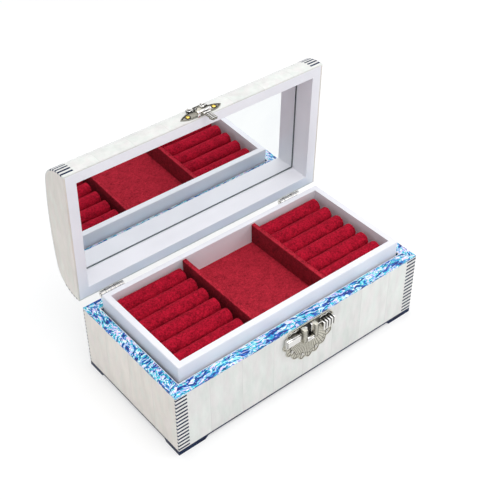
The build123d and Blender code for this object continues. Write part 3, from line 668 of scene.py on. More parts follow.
def soften(piece, width, segments=2, angle=35):
    """Round the edges of a piece."""
    return finish_with(
        piece,
        "BEVEL",
        width=width,
        segments=segments,
        limit_method="ANGLE",
        angle_limit=math.radians(angle),
        use_clamp_overlap=True,
    )


def join(pieces, name):
    """Join pieces into one."""
    bpy.ops.object.select_all(action="DESELECT")
    for piece in pieces:
        piece.select_set(True)
    bpy.context.view_layer.objects.active = pieces[0]
    bpy.ops.object.join()
    pieces[0].name = name
    pieces[0].data.name = name
    return pieces[0]


def copy_piece(piece, name):
    """A copy with its own mesh."""
    twin = piece.copy()
    twin.data = piece.data.copy()
    twin.name = name
    twin.data.name = name
    bpy.context.scene.collection.objects.link(twin)
    return twin


def move_points(piece, change):
    """Give every vertex the place that change() returns for its present one."""
    for vertex in piece.data.vertices:
        vertex.co = change(vertex.co)
    piece.data.update()


def tidy_mesh(piece):
    """Merge doubles and turn the faces outwards."""
    activate(piece)
    bpy.ops.object.mode_set(mode="EDIT")
    bpy.ops.mesh.select_all(action="SELECT")
    bpy.ops.mesh.remove_doubles(threshold=0.002 * MM)
    bpy.ops.mesh.normals_make_consistent(inside=False)
    end_edit()
    return piece


def smooth(piece, angle=35):
    activate(piece)
    bpy.ops.object.shade_smooth_by_angle(angle=math.radians(angle))
    return piece


def mount(piece, body, slot, *nodes):
    """Give a finished piece its body, and hide what it stands for. The slot is not used."""
    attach(piece, body)
    if nodes:
        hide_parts(*nodes)


def joint(name):
    return next(entry for entry in frame["joints"] if entry["name"] == name)


def lid_opening():
    """The turn that carries the closed lid to where it stands at rest."""
    hinge = joint("lid_hinge")
    pivot = Matrix.Translation(hinge["pos_m"])
    turn = Matrix.Rotation(-math.radians(hinge["range_deg"][0]), 4, Vector(hinge["axis"]))
    return pivot @ turn @ pivot.inverted()


def closed_box(node):
    """The corners of one of the lid's nodes, with the lid closed."""
    back = lid_opening().inverted()
    points = [back @ vertex.co for vertex in frame["nodes"][node].data.vertices]
    low = Vector([min(point[i] for point in points) for i in range(3)])
    high = Vector([max(point[i] for point in points) for i in range(3)])
    return low, high


def corners(node, margin):
    """The lowest and highest corner of a node, drawn in by a margin."""
    low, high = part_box(node)
    inset = Vector((margin,) * 3)
    return Vector(low) + inset, Vector(high) - inset


def lid_edge():
    """The height of the closed lid's lower edge."""
    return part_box("rim_front")[1].z + LID_GAP


def open_with_lid(piece):
    """Carry a piece that was made on the closed lid to where it stands at rest."""
    piece.data.transform(lid_opening())
    return piece


class CHEST_OT_pearl_sheets(bpy.types.Operator):
    """Give the outer sheets their mother-of-pearl"""

    bl_idname = "chest.pearl_sheets"
    bl_label = "Pearl Sheets"

    def execute(self, context):
        colors = context.scene.chest_colors
        sizes = context.scene.chest_sizes
        long_tone, short_tone = tuple(colors.pearl_long), tuple(colors.pearl_short)
        strip = sizes.pearl_strip
        pearl_finish("pearl_long", long_tone, "X", strip, True).wear(PEARL_LONG)
        pearl_finish("pearl_short", short_tone, "Y", strip, True).wear(PEARL_SHORT)
        pearl_finish("pearl_lid", long_tone, "X", strip).wear(PEARL_LID)
        pearl_finish("pearl_lid_end", scaled(short_tone, 0.90), "Y", 3 * strip).wear(PEARL_LID_ENDS)
        return {"FINISHED"}


class CHEST_OT_abalone_sheets(bpy.types.Operator):
    """Give the rim, the lining, the stripes and the plinth their abalone"""

    bl_idname = "chest.abalone_sheets"
    bl_label = "Abalone Sheets"

    wall_cover: a_number("Wall cover", "More leaves fewer bright strokes on the inner walls", 0.69)
    floor_cover: a_number("Floor cover", "More leaves fewer bright strokes on the floor", 0.67)
    wander: a_number("Wander", "Most turn of a piece of the walls' abalone, in radians", 0.7)

    def execute(self, context):
        stroke = context.scene.chest_sizes.shell_stroke
        width = 0.34 * stroke
        rim_finish("abalone_rim_long", "X", 2.2 * stroke, 0.85 * width, 0.30).wear(RIM_LONG)
        rim_finish("abalone_rim_short", "Y", 1.3 * stroke, 0.8 * width, 0.9, 0.7).wear(RIM_SHORT)
        strokes = (stroke, 0.8 * width, self.wander, self.wall_cover)
        lining_finish("abalone_lining_long", "Y", "X", *strokes).wear(LINING_LONG)
        lining_finish("abalone_lining_short", "X", "Y", *strokes).wear(LINING_SHORT)
        strokes = (1.2 * stroke, 0.9 * width, 1.2, self.floor_cover)
        # The floor's bright strokes gather towards the front left, where more light falls: painted light
        lining_finish("abalone_floor", "Z", "X", *strokes, painted_light_drift=(-0.6, -1.0)).wear(LINING_FLOOR)
        stripe_finish("abalone_stripes").wear(STRIPES + PLINTH)
        return {"FINISHED"}


class CHEST_OT_woodwork(bpy.types.Operator):
    """Paint the lid's inside and the tray, and leave the hidden boards raw"""

    bl_idname = "chest.woodwork"
    bl_label = "Woodwork"

    def execute(self, context):
        tone = tuple(context.scene.chest_colors.paint)
        paint_finish("white_paint", tone).wear(LID_BOARDS + TRAY_BOARDS)
        wood_finish("core_wood").wear(CORE_BOARDS)
        return {"FINISHED"}


class CHEST_OT_mirror(bpy.types.Operator):
    """Silver the mirror and set the dark bead round its edge"""

    bl_idname = "chest.mirror"
    bl_label = "Mirror"

    bead_width: a_length("Bead width", "Width of the dark bead", 0.55)

    def execute(self, context):
        mirror_finish("mirror_glass").wear(("mirror",))
        low, high = closed_box("mirror")
        width = self.bead_width
        bead = add_block("mirror_bead", (low.x, low.y, low.z - width), (high.x, high.y, low.z))
        edit_faces(bead, lambda face: abs(face.normal.z) > 0.9)
        bpy.ops.mesh.inset(thickness=width, depth=0)
        bpy.ops.mesh.bridge_edge_loops()
        end_edit()
        soften(bead, 0.15 * MM)
        open_with_lid(bead)
        finish = Finish("mirror_edge", Roughness=0.3)
        wear = finish.noise(finish.place, 3 * MM)
        finish.color(finish.ramp(wear, BEAD_HUES))
        put_on(bead, finish.material)
        mount(bead, "lid", "mirror_glass")
        return {"FINISHED"}


class CHEST_OT_hinges(bpy.types.Operator):
    """Plate the hinges and their screws"""

    bl_idname = "chest.hinges"
    bl_label = "Hinges"

    def execute(self, context):
        colors = context.scene.chest_colors
        metal_finish("nickel_plate", tuple(colors.nickel), 0.14).wear(HINGES)
        satin = tuple(colors.nickel_satin)
        metal_finish("nickel_satin", satin, 0.42, 0.12 * MM, 0.5)
        for name, share in (("nickel_worn", 0.5), ("nickel_line", 0.34)):
            metal_finish(name, scaled(satin, share), 0.45, 0.12 * MM, 0.5)
        # The dark material of recesses, grooves and cores: patina with painted shade
        patina_and_shade_finish("nickel_shadow", tuple(colors.patina_and_shade))
        metal_finish("screw_brass", tuple(colors.brass), 0.12).wear(("lid_screws",))
        return {"FINISHED"}


def paint_faces(piece, number):
    """Give the faces that are selected in edit mode one of the piece's materials."""
    piece.active_material_index = number
    bpy.ops.object.material_slot_assign()


def cut_plate(name, outline, face_y, thickness, metal):
    """A flat plate with an outline of (x, z) points, that stands on a face which looks to the front."""
    plate = add_shape(name, bpy.ops.mesh.primitive_circle_add, vertices=len(outline), fill_type="NGON")
    for vertex, (x, z) in zip(plate.data.vertices, outline):
        vertex.co = (x, face_y, z)
    edit_faces(plate, lambda face: True)
    bpy.ops.mesh.extrude_region_move(TRANSFORM_OT_translate={"value": (0, -thickness, 0)})
    end_edit()
    put_on(plate, *metal)
    return tidy_mesh(plate)


def sink_field(piece, border, depth):
    """Leave a bright border round a piece's front, and sink a dark field inside it: patina with painted
    shade.
    """
    edit_faces(piece, lambda face: face.normal.y < -0.9)
    bpy.ops.mesh.inset(thickness=border, depth=0)
    paint_faces(piece, DARK)
    bpy.ops.mesh.inset(thickness=GROOVE_SLOPE, depth=-depth)


def raise_field(piece, groove, height):
    """Leave a dark groove round the sunk field that is still selected, and raise a bright one in it."""
    bpy.ops.mesh.inset(thickness=groove, depth=0)
    paint_faces(piece, BRIGHT)
    bpy.ops.mesh.inset(thickness=GROOVE_SLOPE, depth=height)


def plain_block(name, low, high, metal, edge):
    """A block with rounded edges."""
    piece = add_block(name, low, high)
    put_on(piece, *metal)
    return soften(piece, edge, 3, 25)


def panel_block(name, low, high, metal, groove, height):
    """A rounded block whose front has a bright border, a dark groove and a raised panel."""
    piece = add_block(name, low, high)
    put_on(piece, *metal)
    sink_field(piece, border=0.5 * MM, depth=0.4 * MM)
    raise_field(piece, groove, height)
    bpy.ops.mesh.inset(thickness=0.45 * MM, depth=0.12 * MM)
    end_edit()
    return soften(piece, 0.22 * MM, 3, 25)


def round_rod(name, start, end, radius, metal, edge):
    """A round rod with softened ends."""
    piece = add_rod(name, start, end, radius)
    put_on(piece, *metal)
    return soften(piece, edge)


def beside(middle, side, inner, outer):
    """Where a span on one side of a middle starts and ends."""
    return sorted((middle + side * inner, middle + side * outer))


def cut_away(piece, tool):
    """Take the shape of a tool out of a piece."""
    return finish_with(piece, "BOOLEAN", operation="DIFFERENCE", object=tool, solver="EXACT")


class CHEST_OT_clasp(bpy.types.Operator):
    """Model the shell plate, its boss and jaws, and the ridged bolt"""

    bl_idname = "chest.clasp"
    bl_label = "Clasp"

    lobes: a_count("Lobes", "Scallops of the shell plate", 9)
    lobe_reach: a_number("Lobe reach", "How far a scallop reaches, against the valley beside it", 1.107)
    taper: a_number("Taper", "Share by which the shell is drawn in at its foot", 0.14)
    depth: a_length("Depth", "Reach of the shell's valleys below its middle", 26)
    top_half: a_length("Top", "Half the length of the plate's straight top", 17.2)
    gap: a_length("Gap", "Dark gap between the parts of the block", 0.55)
    cheek: a_length("Cheek", "Distance from the middle to a cheek's inner face", 3.9)
    notch: a_length("Notch", "Half the width of the notch for the hasp's eye", 2.1)
    knob_width: a_length("Knob", "Width of the bolt's knob", 12.4)
    ridges: a_count("Ridges", "Ridges across the bolt's knob", 5)
    ridge_pitch: a_length("Ridge pitch", "Distance from ridge to ridge", 2.7)
    bolt_radius: a_length("Bolt", "Radius of the bolt's rod", 0.5)
    bore_end: a_length("Bore", "How far the bolt's bore runs past the middle", 4)

    def execute(self, context):
        polished, satin, line, dark = (bpy.data.materials[name] for name in CLASP_METALS)
        low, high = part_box("clasp_plate")
        eye_low, eye_high = closed_box("hasp_eye")
        self.shell_middle = (low.x + high.x) / 2
        self.middle, self.bolt_y, self.bolt_z = (eye_low + eye_high) / 2
        self.make_plate(low, high, (satin, line), (polished, dark))
        self.make_blocks((polished, dark), (satin, dark), (dark,))
        self.make_bolt((polished, dark), (dark,))
        return {"FINISHED"}

    def outline(self, half, centre_z, top_z):
        """Scallops below the centre, then a round shoulder, the straight top and a shoulder."""
        points = []
        steps = 8
        for step in range(self.lobes * steps + 1):
            share = step / steps
            reach = 1 + (self.lobe_reach - 1) * math.sin(math.pi * (share % 1.0))
            angle = math.pi * (1 + share / self.lobes)
            x = self.shell_middle + reach * half * math.cos(angle)
            points.append((x, centre_z + reach * self.depth * math.sin(angle)))
        shoulder = []
        for step in range(1, steps + 1):
            turn = math.pi / 2 * step / steps
            across = self.top_half + (half - self.top_half) * math.cos(turn)
            shoulder.append((across, centre_z + (top_z - centre_z) * math.sin(turn)))
        points += [(self.shell_middle + across, z) for across, z in shoulder]
        points += [(self.shell_middle - across, z) for across, z in reversed(shoulder)]
        return points

    def make_plate(self, low, high, satin, polished):
        half = (high.x - low.x) / 2 / self.lobe_reach
        centre_z = low.z + self.depth * self.lobe_reach
        face_y, thickness = high.y, 0.9 * (high.y - low.y)
        outline = self.outline(half, centre_z, high.z)
        plate = cut_plate("clasp_plate_base", outline, face_y, thickness, satin)
        sink_field(plate, border=0.75 * MM, depth=0.5 * MM)
        end_edit()
        soften(plate, 0.14 * MM, 2, 30)
        pieces = [plate, self.make_fan(half, centre_z, face_y - 0.25 * MM, satin)]

        def draw_in(co):
            share = max(0.0, (centre_z - co.z) / self.depth)
            across = (co.x - self.shell_middle) * (1 - self.taper * share**2)
            return Vector((self.shell_middle + across, co.y, co.z))

        for piece in pieces:
            move_points(piece, draw_in)
        wire_y = face_y - 0.55 * MM
        for side in (-1, 1):
            points = [(self.shell_middle + side * x * MM, wire_y, z * MM) for x, z in SPRAY]
            pieces.append(bent_wire("clasp_spray", points, 0.3 * MM, polished))
        shell = smooth(join(pieces, "clasp_shell_plate"), 40)
        mount(shell, "chest", "nickel_plate", "clasp_plate")

    def make_fan(self, half, centre_z, seat_y, metal):
        """The fluted fan on the lower half of the plate: three flutes to each scallop."""
        flutes, per_flute, rings = 3 * self.lobes, 5, 18
        first, last, rise = 0.30, 0.955, 0.55 * MM
        squares = {"x_subdivisions": flutes * per_flute, "y_subdivisions": rings}
        fan = add_shape("clasp_fan", bpy.ops.mesh.primitive_grid_add, size=2, **squares)
        put_on(fan, *metal)

        def in_line(face):
            """The faces along the valleys between the flutes, and a broken line inside the scallops."""
            across = (face.calc_center_median().x + 1) / 2 * flutes % 1.0
            out = (face.calc_center_median().y + 1) / 2
            valley = across < 1 / per_flute and out > 0.15
            dash = abs(out - 0.8) < 0.5 / rings and across > 0.3
            return valley or dash

        edit_faces(fan, in_line)
        paint_faces(fan, DARK)
        end_edit()

        def place(co):
            around, out = (co.x + 1) / 2, (co.y + 1) / 2
            swell = math.sin(math.pi * ((around * self.lobes) % 1.0))
            share = first + (last - first) * out
            radius = share * (1 + (self.lobe_reach - 1) * swell * share)
            angle = math.pi * (1 + around)
            flute = math.sin(math.pi * ((around * flutes) % 1.0)) * (0.5 + 0.5 * out)
            ring = 0.35 * math.exp(-(((out - 0.76) / 0.06) ** 2))
            edge = min(1.0, 12 * (1.0 - out), 12 * out)
            stand = rise * (0.25 + 0.75 * min(1.0, flute + ring) * edge)
            x = self.shell_middle + radius * half * math.cos(angle)
            return Vector((x, seat_y - stand, centre_z + radius * self.depth * math.sin(angle)))

        move_points(fan, place)
        edit_faces(fan, lambda face: True)
        bpy.ops.mesh.extrude_region()
        end_edit()
        for vertex in fan.data.vertices:
            if vertex.select:
                vertex.co.y = seat_y
        return tidy_mesh(fan)

    def make_blocks(self, polished, satin, dark):
        low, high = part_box("clasp_blocks")
        middle, half = self.middle, high.x - self.middle
        front, back = low.y, high.y
        start = (low.x, back - 2.9 * MM, BOSS_LOW)
        end = (middle - half - self.gap, back, BOSS_HIGH)
        pieces = [panel_block("clasp_boss", start, end, polished, groove=0.35 * MM, height=1.0 * MM)]
        inset = 0.3 * MM
        # A dark core inside the block, seen in the gaps between its bars and cheeks: painted shade
        start = (middle - half + inset, front + 0.8 * MM, low.z + inset)
        end = (middle + half - inset, back, BAR_HIGH - inset)
        pieces.append(plain_block("clasp_core", start, end, dark, edge=0.1 * MM))
        # A thin dark sheet behind the jaws and bars that shows round their edges: painted shade
        start = (middle - half - 0.8 * MM, back - 0.2 * MM, low.z - 0.9 * MM)
        end = (middle + half + 0.2 * MM, back, high.z)
        pieces.append(plain_block("clasp_bed", start, end, dark, edge=0.05 * MM))
        bored = []
        for side in (-1, 1):
            first, last = beside(middle, side, self.cheek + 0.02 * MM, half)
            start, end = (first, front + 0.1 * MM, low.z), (last, back, high.z)
            bored.append(panel_block("clasp_cheek", start, end, satin, groove=0.3 * MM, height=0.35 * MM))
            first, last = beside(middle, side, self.notch, self.cheek + 0.4 * MM)
            start, end = (first, back - 2.6 * MM, JAW_LOW), (last, back, high.z - inset)
            bored.append(plain_block("clasp_jaw", start, end, polished, edge=0.3 * MM))
        start = (middle - self.bore_end, self.bolt_y, self.bolt_z)
        end = (middle + half + MM, self.bolt_y, self.bolt_z)
        drill = add_rod("bolt_drill", start, end, self.bolt_radius + 0.15 * MM)
        pieces += [cut_away(piece, drill) for piece in bored]
        bpy.data.objects.remove(drill)
        bar_half, lower_top = self.cheek - self.gap, low.z + 1.4 * MM
        for first, last in ((low.z, lower_top), (lower_top + self.gap, BAR_HIGH)):
            start, end = (middle - bar_half, front, first), (middle + bar_half, back, last)
            pieces.append(plain_block("clasp_bar", start, end, polished, edge=0.6 * MM))
        blocks = smooth(join(pieces, "clasp_boss_and_jaws"))
        mount(blocks, "chest", "nickel_plate", "clasp_blocks")

    def make_bolt(self, polished, dark):
        low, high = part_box("slide_bolt")
        left, back = high.x - self.knob_width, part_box("clasp_plate")[0].y - 0.1 * MM
        drop, margin, ridge_half, rib_half = 0.8 * MM, 0.2 * MM, 0.8 * MM, 0.6 * MM
        # A dark core under the ridges, seen in the gaps between them: painted shade
        start = (left + margin, low.y + drop, KNOB_LOW + drop)
        end = (high.x - margin, back, KNOB_HIGH - drop)
        pieces = [plain_block("knob_core", start, end, dark, edge=0.4 * MM)]
        for number in range(self.ridges):
            x = left + self.knob_width / 2 + (number - (self.ridges - 1) / 2) * self.ridge_pitch
            start, end = (x - ridge_half, low.y, KNOB_LOW), (x + ridge_half, back, KNOB_HIGH)
            pieces.append(plain_block("knob_ridge", start, end, polished, edge=0.45 * MM))
        start, end = (low.x, self.bolt_y, self.bolt_z), (left + MM, self.bolt_y, self.bolt_z)
        pieces.append(round_rod("bolt_rod", start, end, self.bolt_radius, polished, edge=0.15 * MM))
        start = (left + MM, back - 0.2 * MM, self.bolt_z - rib_half)
        end = (high.x - MM, high.y, self.bolt_z + rib_half)
        pieces.append(plain_block("guide_rib", start, end, dark, edge=0.1 * MM))
        bolt = smooth(join(pieces, "clasp_bolt"))
        mount(bolt, "slide_bolt", "nickel_plate", "slide_bolt")


class CHEST_OT_hasp(bpy.types.Operator):
    """Model the winged hasp plate with its scrolls, and the ridged tongue"""

    bl_idname = "chest.hasp"
    bl_label = "Hasp"

    spread: a_length("Spread", "How far each wing's thin tip runs past the plate", 2)
    thickness: a_length("Thickness", "Thickness of the winged plate", 0.8)
    barrel: a_length("Barrel", "Radius of the barrels round the pin", 1.2)
    ridges: a_count("Ridges", "Ridges across the tongue", 5)
    ridge_pitch: a_length("Ridge pitch", "Distance from ridge to ridge", 1.6)
    first_ridge: a_length("First ridge", "Distance from the lid's edge down to the first ridge", 5.4)

    def execute(self, context):
        polished, satin, worn, dark = (bpy.data.materials[name] for name in HASP_METALS)
        low, high = closed_box("hasp_plate")
        self.middle, self.edge_z = (low.x + high.x) / 2, lid_edge()
        self.make_plate(low, high, (polished, dark), (satin, dark), (worn, dark), (dark,))
        self.make_tongue((polished, dark), (worn, dark))
        self.make_eye((polished,))
        return {"FINISHED"}

    def make_plate(self, low, high, polished, satin, worn, dark):
        face_y, half = high.y, (high.x - low.x) / 2 + self.spread
        outline = [(self.middle + share * half, self.edge_z + height * MM) for share, height in WING]
        outline += [(2 * self.middle - x, z) for x, z in reversed(outline[1:-1])]
        plate = cut_plate("hasp_wings", outline, face_y, self.thickness, worn)
        sink_field(plate, border=0.5 * MM, depth=0.45 * MM)
        raise_field(plate, groove=0.65 * MM, height=0.3 * MM)
        end_edit()
        soften(plate, 0.1 * MM, 2, 30)
        front = face_y - self.thickness
        pieces = [plate]
        for side in (-1, 1):
            pieces += self.make_scroll(side, front, (polished[0],), dark)
            pieces.append(self.make_knuckle(side, face_y, low, polished))
            # A dark disc behind each screw head, which shows as a ring of painted shade round it
            x, z = self.middle + side * HASP_SCREW[0], self.edge_z + HASP_SCREW[1]
            start, end = (x, face_y, z), (x, front - 0.02 * MM, z)
            pieces.append(round_rod("hasp_seat", start, end, 2.45 * MM, dark, edge=0.05 * MM))
        start = (self.middle - 3.2 * MM, front - 0.9 * MM, self.edge_z + 4.4 * MM)
        end = (self.middle + 3.2 * MM, front, self.edge_z + 10.2 * MM)
        pieces.append(panel_block("hasp_panel", start, end, satin, groove=0.3 * MM, height=0.3 * MM))
        # A small rivet in a dark collar, the collar painted shade round it
        x, z = self.middle - 2.2 * MM, self.edge_z + 8.8 * MM
        for radius, stand, metal in ((1.3 * MM, 1.05 * MM, dark), (0.55 * MM, 1.3 * MM, (polished[0],))):
            start, end = (x, front, z), (x, front - stand, z)
            pieces.append(round_rod("hasp_rivet", start, end, radius, metal, edge=0.1 * MM))
        winged = open_with_lid(smooth(join(pieces, "hasp_winged_plate")))
        mount(winged, "lid", "nickel_plate", "hasp_plate")

    def make_scroll(self, side, front, bright, dark):
        """A curled leaf end: a spiral wire that rises to its middle, on a dark round seat of painted shade
        that shows between its turns.
        """
        x, z = self.middle + side * 6.3 * MM, self.edge_z + 10.6 * MM
        points = []
        steps, first_angle, turn = 30, 250, 620
        for step in range(steps + 1):
            share = step / steps
            angle = math.radians(first_angle - turn * share)
            radius = (2.8 - 2.2 * share) * MM
            stand = (0.45 + 0.7 * share) * MM
            across = side * radius * math.cos(angle)
            points.append((x + across, front - stand, z + radius * math.sin(angle)))
        curl = bent_wire("hasp_curl", points, 0.45 * MM, bright)
        start, end = (x, front + 0.3 * MM, z), (x, front - 0.3 * MM, z)
        return [curl, round_rod("hasp_seat", start, end, 2.9 * MM, dark, edge=0.1 * MM)]

    def make_knuckle(self, side, face_y, low, metal):
        """The barrel that holds the pin on one side of the tongue, on its arm."""
        pin_y, pin_z = low.y + self.barrel, self.edge_z + MM
        first, last = beside(self.middle, side, 3.4 * MM, 6.2 * MM)
        start, end = (first, pin_y, pin_z), (last, pin_y, pin_z)
        barrel = round_rod("hasp_barrel", start, end, self.barrel, metal, edge=0.2 * MM)
        start = (first + 0.2 * MM, pin_y, pin_z - 0.8 * MM)
        end = (last - 0.2 * MM, face_y, pin_z + 0.8 * MM)
        return join([barrel, plain_block("hasp_arm", start, end, metal, edge=0.2 * MM)], "hasp_barrel")

    def make_tongue(self, polished, worn):
        low, high = closed_box("hasp_tongue")
        middle, leaf_half = self.middle, 0.5 * MM
        pin_y, pin_z = high.y - self.barrel, high.z - self.barrel
        start, end = (low.x, pin_y, pin_z), (high.x, pin_y, pin_z)
        barrel = round_rod("tongue_barrel", start, end, self.barrel, polished, edge=0.2 * MM)
        start, end = (low.x, pin_y - leaf_half, low.z), (high.x, pin_y + leaf_half, pin_z)
        leaf = add_block("tongue_leaf", start, end)
        put_on(leaf, *worn)
        sink_field(leaf, border=0.5 * MM, depth=0.3 * MM)
        bpy.ops.mesh.select_all(action="SELECT")
        bpy.ops.mesh.subdivide(number_cuts=9)
        end_edit()

        def taper(co):
            """A waist along the tongue, and a round tip."""
            share = (co.z - low.z) / (pin_z - low.z)
            waist = 1.0 - 0.2 * math.sin(math.pi * min(1.0, share * 1.1))
            tip = math.sqrt(max(0.3, 1.0 - ((0.13 - share) / 0.16) ** 2)) if share < 0.13 else 1.0
            return Vector((middle + (co.x - middle) * waist * tip, co.y, co.z))

        move_points(leaf, taper)
        soften(leaf, 0.12 * MM)
        pieces = [leaf, barrel]
        for number in range(self.ridges):
            z = self.edge_z - self.first_ridge - number * self.ridge_pitch
            share = (z - low.z) / (pin_z - low.z)
            half = 2.55 * MM * (1.0 - 0.12 * math.sin(math.pi * share))
            start, end = (middle - half, low.y, z - 0.38 * MM), (middle + half, pin_y, z + 0.38 * MM)
            pieces.append(plain_block("tongue_ridge", start, end, polished, edge=0.25 * MM))
        y, z = pin_y - 0.25 * MM, pin_z - 3.4 * MM
        start, end = (low.x + 0.3 * MM, y, z), (high.x - 0.3 * MM, y, z)
        pieces.append(round_rod("tongue_collar", start, end, 0.75 * MM, polished, edge=0.2 * MM))
        tongue = open_with_lid(smooth(join(pieces, "hasp_ridged_tongue")))
        mount(tongue, "hasp", "nickel_plate", "hasp_tongue")

    def make_eye(self, metal):
        """The ring behind the tongue that the bolt passes through, on a small foot."""
        low, high = closed_box("hasp_eye")
        middle_y, middle_z = (low.y + high.y) / 2, (low.z + high.z) / 2
        ring = add_shape(
            "eye_ring",
            bpy.ops.mesh.primitive_torus_add,
            location=(self.middle, middle_y, middle_z),
            rotation=(0, math.pi / 2, 0),
            major_radius=0.92 * MM,
            minor_radius=0.33 * MM,
            major_segments=32,
            minor_segments=14,
        )
        put_on(ring, *metal)

        def widen(co):
            x = self.middle + (co.x - self.middle) * 4.2
            return Vector((x, co.y, middle_z + (co.z - middle_z) * 1.7))

        move_points(ring, widen)
        start = (self.middle - 1.3 * MM, low.y - 0.1 * MM, middle_z - 1.9 * MM)
        end = (self.middle + 1.3 * MM, low.y + 0.45 * MM, middle_z + 1.9 * MM)
        foot = plain_block("eye_foot", start, end, metal, edge=0.15 * MM)
        eye = open_with_lid(smooth(join([ring, foot], "hasp_eye_ring")))
        mount(eye, "hasp", "nickel_plate", "hasp_eye")


class CHEST_OT_lid_screws(bpy.types.Operator):
    """Turn domed and slotted brass screws into the hasp and the lid's hinge leaves"""

    bl_idname = "chest.lid_screws"
    bl_label = "Lid Screws"

    head: a_length("Head", "Radius of a head", 1.6)
    height: a_length("Height", "Height of a head", 0.8)
    shank: a_length("Shank", "Length of a shank", 6.5)

    def execute(self, context):
        low, high = closed_box("lid_screws")
        hasp_low, hasp_high = closed_box("hasp_plate")
        middle = (hasp_low.x + hasp_high.x) / 2
        across, up = HASP_SCREW
        front_y, back_y = low.y + self.height, high.y - self.height
        places = [((middle + side * across, front_y, lid_edge() + up), -1) for side in (-1, 1)]
        across, up = HINGE_SCREW
        for side in (-1, 1):
            for step in (-1, 1):
                places.append(((side * HINGE_X + step * across, back_y, lid_edge() + up), 1))
        pieces = [self.make_screw(Vector(place), way) for place, way in places]
        screws = smooth(join(pieces, "lid_domed_screws"))
        put_on(screws, bpy.data.materials["screw_brass"])
        mount(open_with_lid(screws), "lid", "brass_screws", "lid_screws")
        return {"FINISHED"}

    def make_screw(self, place, way):
        """One screw with its head on a face that looks forwards, way -1, or back, way 1."""
        head = add_dome("screw_head", place, (0, way, 0), self.head, self.height)
        slot_half, slot_deep, across = 0.22 * MM, 0.45 * MM, 2 * MM
        top = place.y + way * self.height
        first, last = sorted((top - way * slot_deep, top + way * slot_deep))
        start = (place.x - across, first, place.z - slot_half)
        end = (place.x + across, last, place.z + slot_half)
        slot = add_block("screw_slot", start, end)
        cut_away(head, slot)
        bpy.data.objects.remove(slot)
        shank = add_rod("screw_shank", place, place - Vector((0, way * self.shank, 0)), 0.85 * MM, 16)
        return join([head, shank], "screw")


class CHEST_OT_velvet_boards(bpy.types.Operator):
    """Cover the tray's floor board and its two dividers in velvet"""

    bl_idname = "chest.velvet_boards"
    bl_label = "Velvet Boards"

    def execute(self, context):
        colors, sizes = context.scene.chest_colors, context.scene.chest_sizes
        tone, crest = tuple(colors.velvet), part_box("divider_left")[1].z
        self.make_floor(velvet_finish("red_velvet", tone, 0.18, 0.15).material, sizes.nap)
        velvet = velvet_finish("divider_velvet", tone, 0.12, 0.12, crest).material
        for name in ("divider_left", "divider_right"):
            self.make_divider(velvet, name)
        return {"FINISHED"}

    @staticmethod
    def make_floor(velvet, nap):
        low, high = corners("tray_velvet_floor", 0.02 * MM)
        spacing = 1.6 * MM
        bpy.ops.object.select_all(action="DESELECT")
        bpy.ops.mesh.primitive_grid_add(
            x_subdivisions=round((high.x - low.x) / spacing),
            y_subdivisions=round((high.y - low.y) / spacing),
            size=1,
            location=((low.x + high.x) / 2, (low.y + high.y) / 2, high.z),
        )
        bpy.context.object.scale = (high.x - low.x, high.y - low.y, 1)
        floor = name_piece("tray_velvet")

        def lay(co):
            edge = min(co.x - low.x, high.x - co.x, co.y - low.y, high.y - co.y)
            tuck = 0.5 * MM * math.exp(-edge / (1.2 * MM))
            wave = noise.noise(co / (11 * MM)) + 0.4 * noise.noise(co / (3.5 * MM))
            return Vector((co.x, co.y, high.z - tuck - nap * (0.7 + 0.5 * wave)))

        move_points(floor, lay)
        finish_with(floor, "SOLIDIFY", thickness=1.3 * MM, offset=-1)
        smooth(floor, 60)
        put_on(floor, velvet)
        mount(floor, "tray", "red_velvet", "tray_velvet_floor")

    @staticmethod
    def make_divider(velvet, name):
        low, high = corners(name, 0.03 * MM)
        board = add_block(name + "_velvet", low, high)
        edit_faces(board, lambda face: face.normal.z > 0.9)
        bpy.ops.mesh.inset(thickness=0.55 * MM, depth=0)
        bpy.ops.mesh.inset(thickness=0.2 * MM, depth=-0.3 * MM)
        end_edit()
        soften(board, 0.35 * MM, 3, 30)
        smooth(board, 50)
        put_on(board, velvet)
        mount(board, "tray", "red_velvet", name)


def swell(piece, pressure, cap, steps):
    """Swell a closed mesh with a short cloth simulation in which no point moves past the cap."""
    scene = bpy.context.scene
    start = [vertex.co.copy() for vertex in piece.data.vertices]
    activate(piece)
    cloth = piece.modifiers.new("swell", "CLOTH")
    cloth.settings.use_pressure = True
    cloth.settings.uniform_pressure_force = pressure
    cloth.settings.effector_weights.gravity = 0.0
    cloth.point_cache.frame_start = 1
    cloth.point_cache.frame_end = steps
    for step in range(1, steps + 1):
        scene.frame_set(step)
    bpy.ops.object.modifier_apply(modifier=cloth.name)
    scene.frame_set(1)
    for vertex, origin in zip(piece.data.vertices, start):
        move = vertex.co - origin
        if move.length > cap:
            vertex.co = origin + move.normalized() * cap
    return piece


